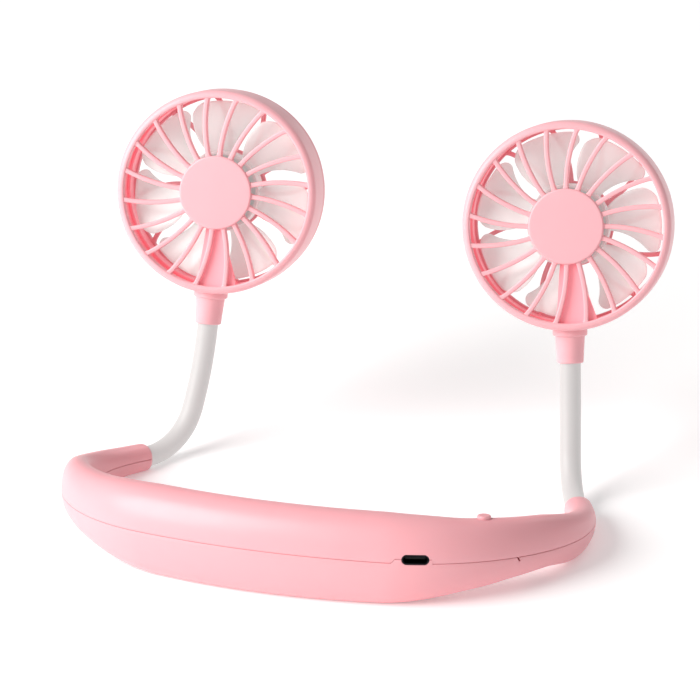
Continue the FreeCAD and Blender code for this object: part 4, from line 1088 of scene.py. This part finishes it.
def impeller(side):
    place = head_place(side) @ Matrix.Scale(MM, 4)
    front, rear = HUB_Y
    hub = rounded([
        (SHAFT_HOLE[0], HUB_BOSS[1]),
        (HUB_BOSS[0], HUB_BOSS[1], 0.3),
        (HUB_BOSS[0], rear - HUB_WALL),
        (HUB_RADIUS - HUB_WALL, rear - HUB_WALL),
        (HUB_RADIUS - HUB_WALL, front, 0.3),
        (HUB_RADIUS, front, 0.3),
        (HUB_RADIUS, rear, 1.5),
        (0, rear),
        (0, SHAFT_HOLE[1]),
        SHAFT_HOLE,
    ])
    wheel = piece(side + "_wheel", [lathe(hub, 96, "Y")], milky, place)
    blades = spun(blade_skin(), BLADES, -BLADE_TURNS[side])
    carve(wheel, "UNION", piece("blades", blades, milky, place))
    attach(wheel, side + "_impeller")
    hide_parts(side + "_impeller")


milky = finish_of("milky", milky_plastic)
for side in SIDES:
    impeller(side)


# Rear housings: the back third of each drum, with a guard of curved bars round a plain hub plate.
# Moulded in one in a deeper pink, with a spigot that snaps into the front grille and is notched where
# the stem comes in.

REAR_STEP = 0.35
REAR_GAP = 0.25
REAR_BORE = 33.2
REAR_SPOKES = 12
REAR_SWEEP = -12.0
REAR_BARS_Y = (7.25, 9.25)
REAR_HUB_RADIUS = 15.0
SPIGOT_LENGTH = 3.4
SPIGOT_WALL = 1.0
SPIGOT_FIT = 0.1
NOTCH_HALF = 4.3
NOTCH_TOP = -33.1


def rear_housing(side):
    start = SPLIT_Y + REAR_GAP
    outer = HEAD_RADIUS - REAR_STEP
    spigot = HEAD_RADIUS - HEAD_WALL - SPIGOT_FIT
    shelf, rear = REAR_BARS_Y
    rim = rounded([
        (outer, start, 0.2),
        (outer, REAR_Y, 1.2),
        (REAR_BORE, REAR_Y, 0.5),
        (REAR_BORE, shelf, 0.3),
        (spigot - SPIGOT_WALL, shelf),
        (spigot - SPIGOT_WALL, start - SPIGOT_LENGTH, 0.2),
        (spigot, start - SPIGOT_LENGTH, 0.2),
        (spigot, start),
    ])
    plate = rounded([(0, shelf), (REAR_HUB_RADIUS, shelf, 0.3), (REAR_HUB_RADIUS, rear, 0.6), (0, rear)])
    bar = guard_bar(REAR_HUB_RADIUS - 0.6, REAR_BORE + 0.6, REAR_SWEEP, shelf, rear)
    notch = block((-NOTCH_HALF, NOTCH_HALF), (FRONT_Y, NOTCH_HALF), (-HEAD_RADIUS, NOTCH_TOP))
    place = head_place(side) @ Matrix.Scale(MM, 4)
    housing = piece(side + "_housing", [lathe(rim, 160, "Y")], housing_pink, place)
    carve(housing, "UNION", piece("plate", [lathe(plate, 96, "Y")], housing_pink, place))
    carve(housing, "UNION", piece("bars", spun(bar, REAR_SPOKES), housing_pink, place))
    carve(housing, "DIFFERENCE", piece("notch", [notch], housing_pink, place))
    # The faces inside the drum take the painted pink glow.
    paint_inside_glow(housing, place, REAR_BORE + 0.6)
    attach(housing, side + "_head")
    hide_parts(side + "_rear_housing")


housing_tint = moulded_plastic(paint(247, 170, 178), paint(243, 160, 170), 0.42, 0.08)
housing_pink = finish_of("housing_pink", housing_tint)
for side in SIDES:
    rear_housing(side)


# Studio: a plain pale floor that is lit a little from below, a broad soft light from the front left, one
# far behind that whitens the sweep of the floor, and an even white surround.
# The camera looks at the fan from the photographed angle.

VIEW_YAW = 22.2
VIEW_RISE = 14.2
VIEW_ROLL = 0.57
VIEW_DISTANCE = 1560.0
VIEW_TARGET = Vector((13.85, 50.0, 59.2))
VIEW_FOCUS = 4590.0
VIEW_WIDTH = 700.0
SENSOR = 36.0
FLOOR_HALF = 3000.0


def floor_finish(tone):
    cloud = tone.clouds(6.0, 3.0)
    fine = tone.clouds(900.0)
    return {
        "Base Color": cloud.between((0.93, 0.925, 0.925, 1), (0.95, 0.945, 0.945, 1)),
        "Roughness": 0.75 + 0.1 * (fine - 0.5),
        "Specular IOR Level": 0.2,
        "Emission Color": (1, 1, 1, 1),
        "Emission Strength": 0.2,
    }


floor_white = finish_of("floor_white", floor_finish)
floor_corners = [Vector((x, y, 0)) * FLOOR_HALF for x, y in ((-1, -1), (1, -1), (1, 1), (-1, 1))]
floor = piece("floor", [(floor_corners, [(0, 1, 2, 3)])], floor_white, Matrix.Scale(MM, 4))


def soft_light(name, place, target, size, power, colour):
    lamp = bpy.data.lights.new(name, "AREA")
    lamp.shape = "DISK"
    lamp.size = size
    lamp.energy = power
    lamp.color = colour
    made = bpy.data.objects.new(name, lamp)
    made.location = place
    made.rotation_euler = (Vector(target) - Vector(place)).to_track_quat("-Z", "Y").to_euler()
    bpy.context.scene.collection.objects.link(made)


soft_light("key", (-1.15, -0.95, 1.0), (0, 0.06, 0.06), 1.5, 42.0, (1, 0.99, 0.98))
soft_light("sweep", (0.5, 3.0, 1.6), (0.5, 3.0, 0), 2.6, 28.0, (1, 1, 1))
surround = bpy.data.worlds.new("surround")
surround.use_nodes = True
surround.node_tree.nodes["Background"].inputs["Color"].default_value = (1, 1, 1, 1)
surround.node_tree.nodes["Background"].inputs["Strength"].default_value = 0.38
bpy.context.scene.world = surround
bpy.context.scene.view_settings.view_transform = "Standard"

yaw, rise = math.radians(VIEW_YAW), math.radians(VIEW_RISE)
right = Vector((math.cos(yaw), math.sin(yaw), 0))
back = Vector((math.sin(yaw) * math.cos(rise), -math.cos(yaw) * math.cos(rise), math.sin(rise)))
over = back.cross(right)
pose = Matrix((right, over, back)).transposed() @ Matrix.Rotation(math.radians(VIEW_ROLL), 3, "Z")
camera = bpy.data.objects.new("camera", bpy.data.cameras.new("camera"))
camera.matrix_world = STAND.to_3x3().to_4x4() @ pose.to_4x4()
camera.location = TABLE @ (VIEW_TARGET + back * VIEW_DISTANCE)
camera.data.sensor_width = SENSOR
camera.data.lens = VIEW_FOCUS / VIEW_WIDTH * SENSOR
camera.data.clip_end = 20.0
bpy.context.scene.collection.objects.link(camera)
bpy.context.scene.camera = camera
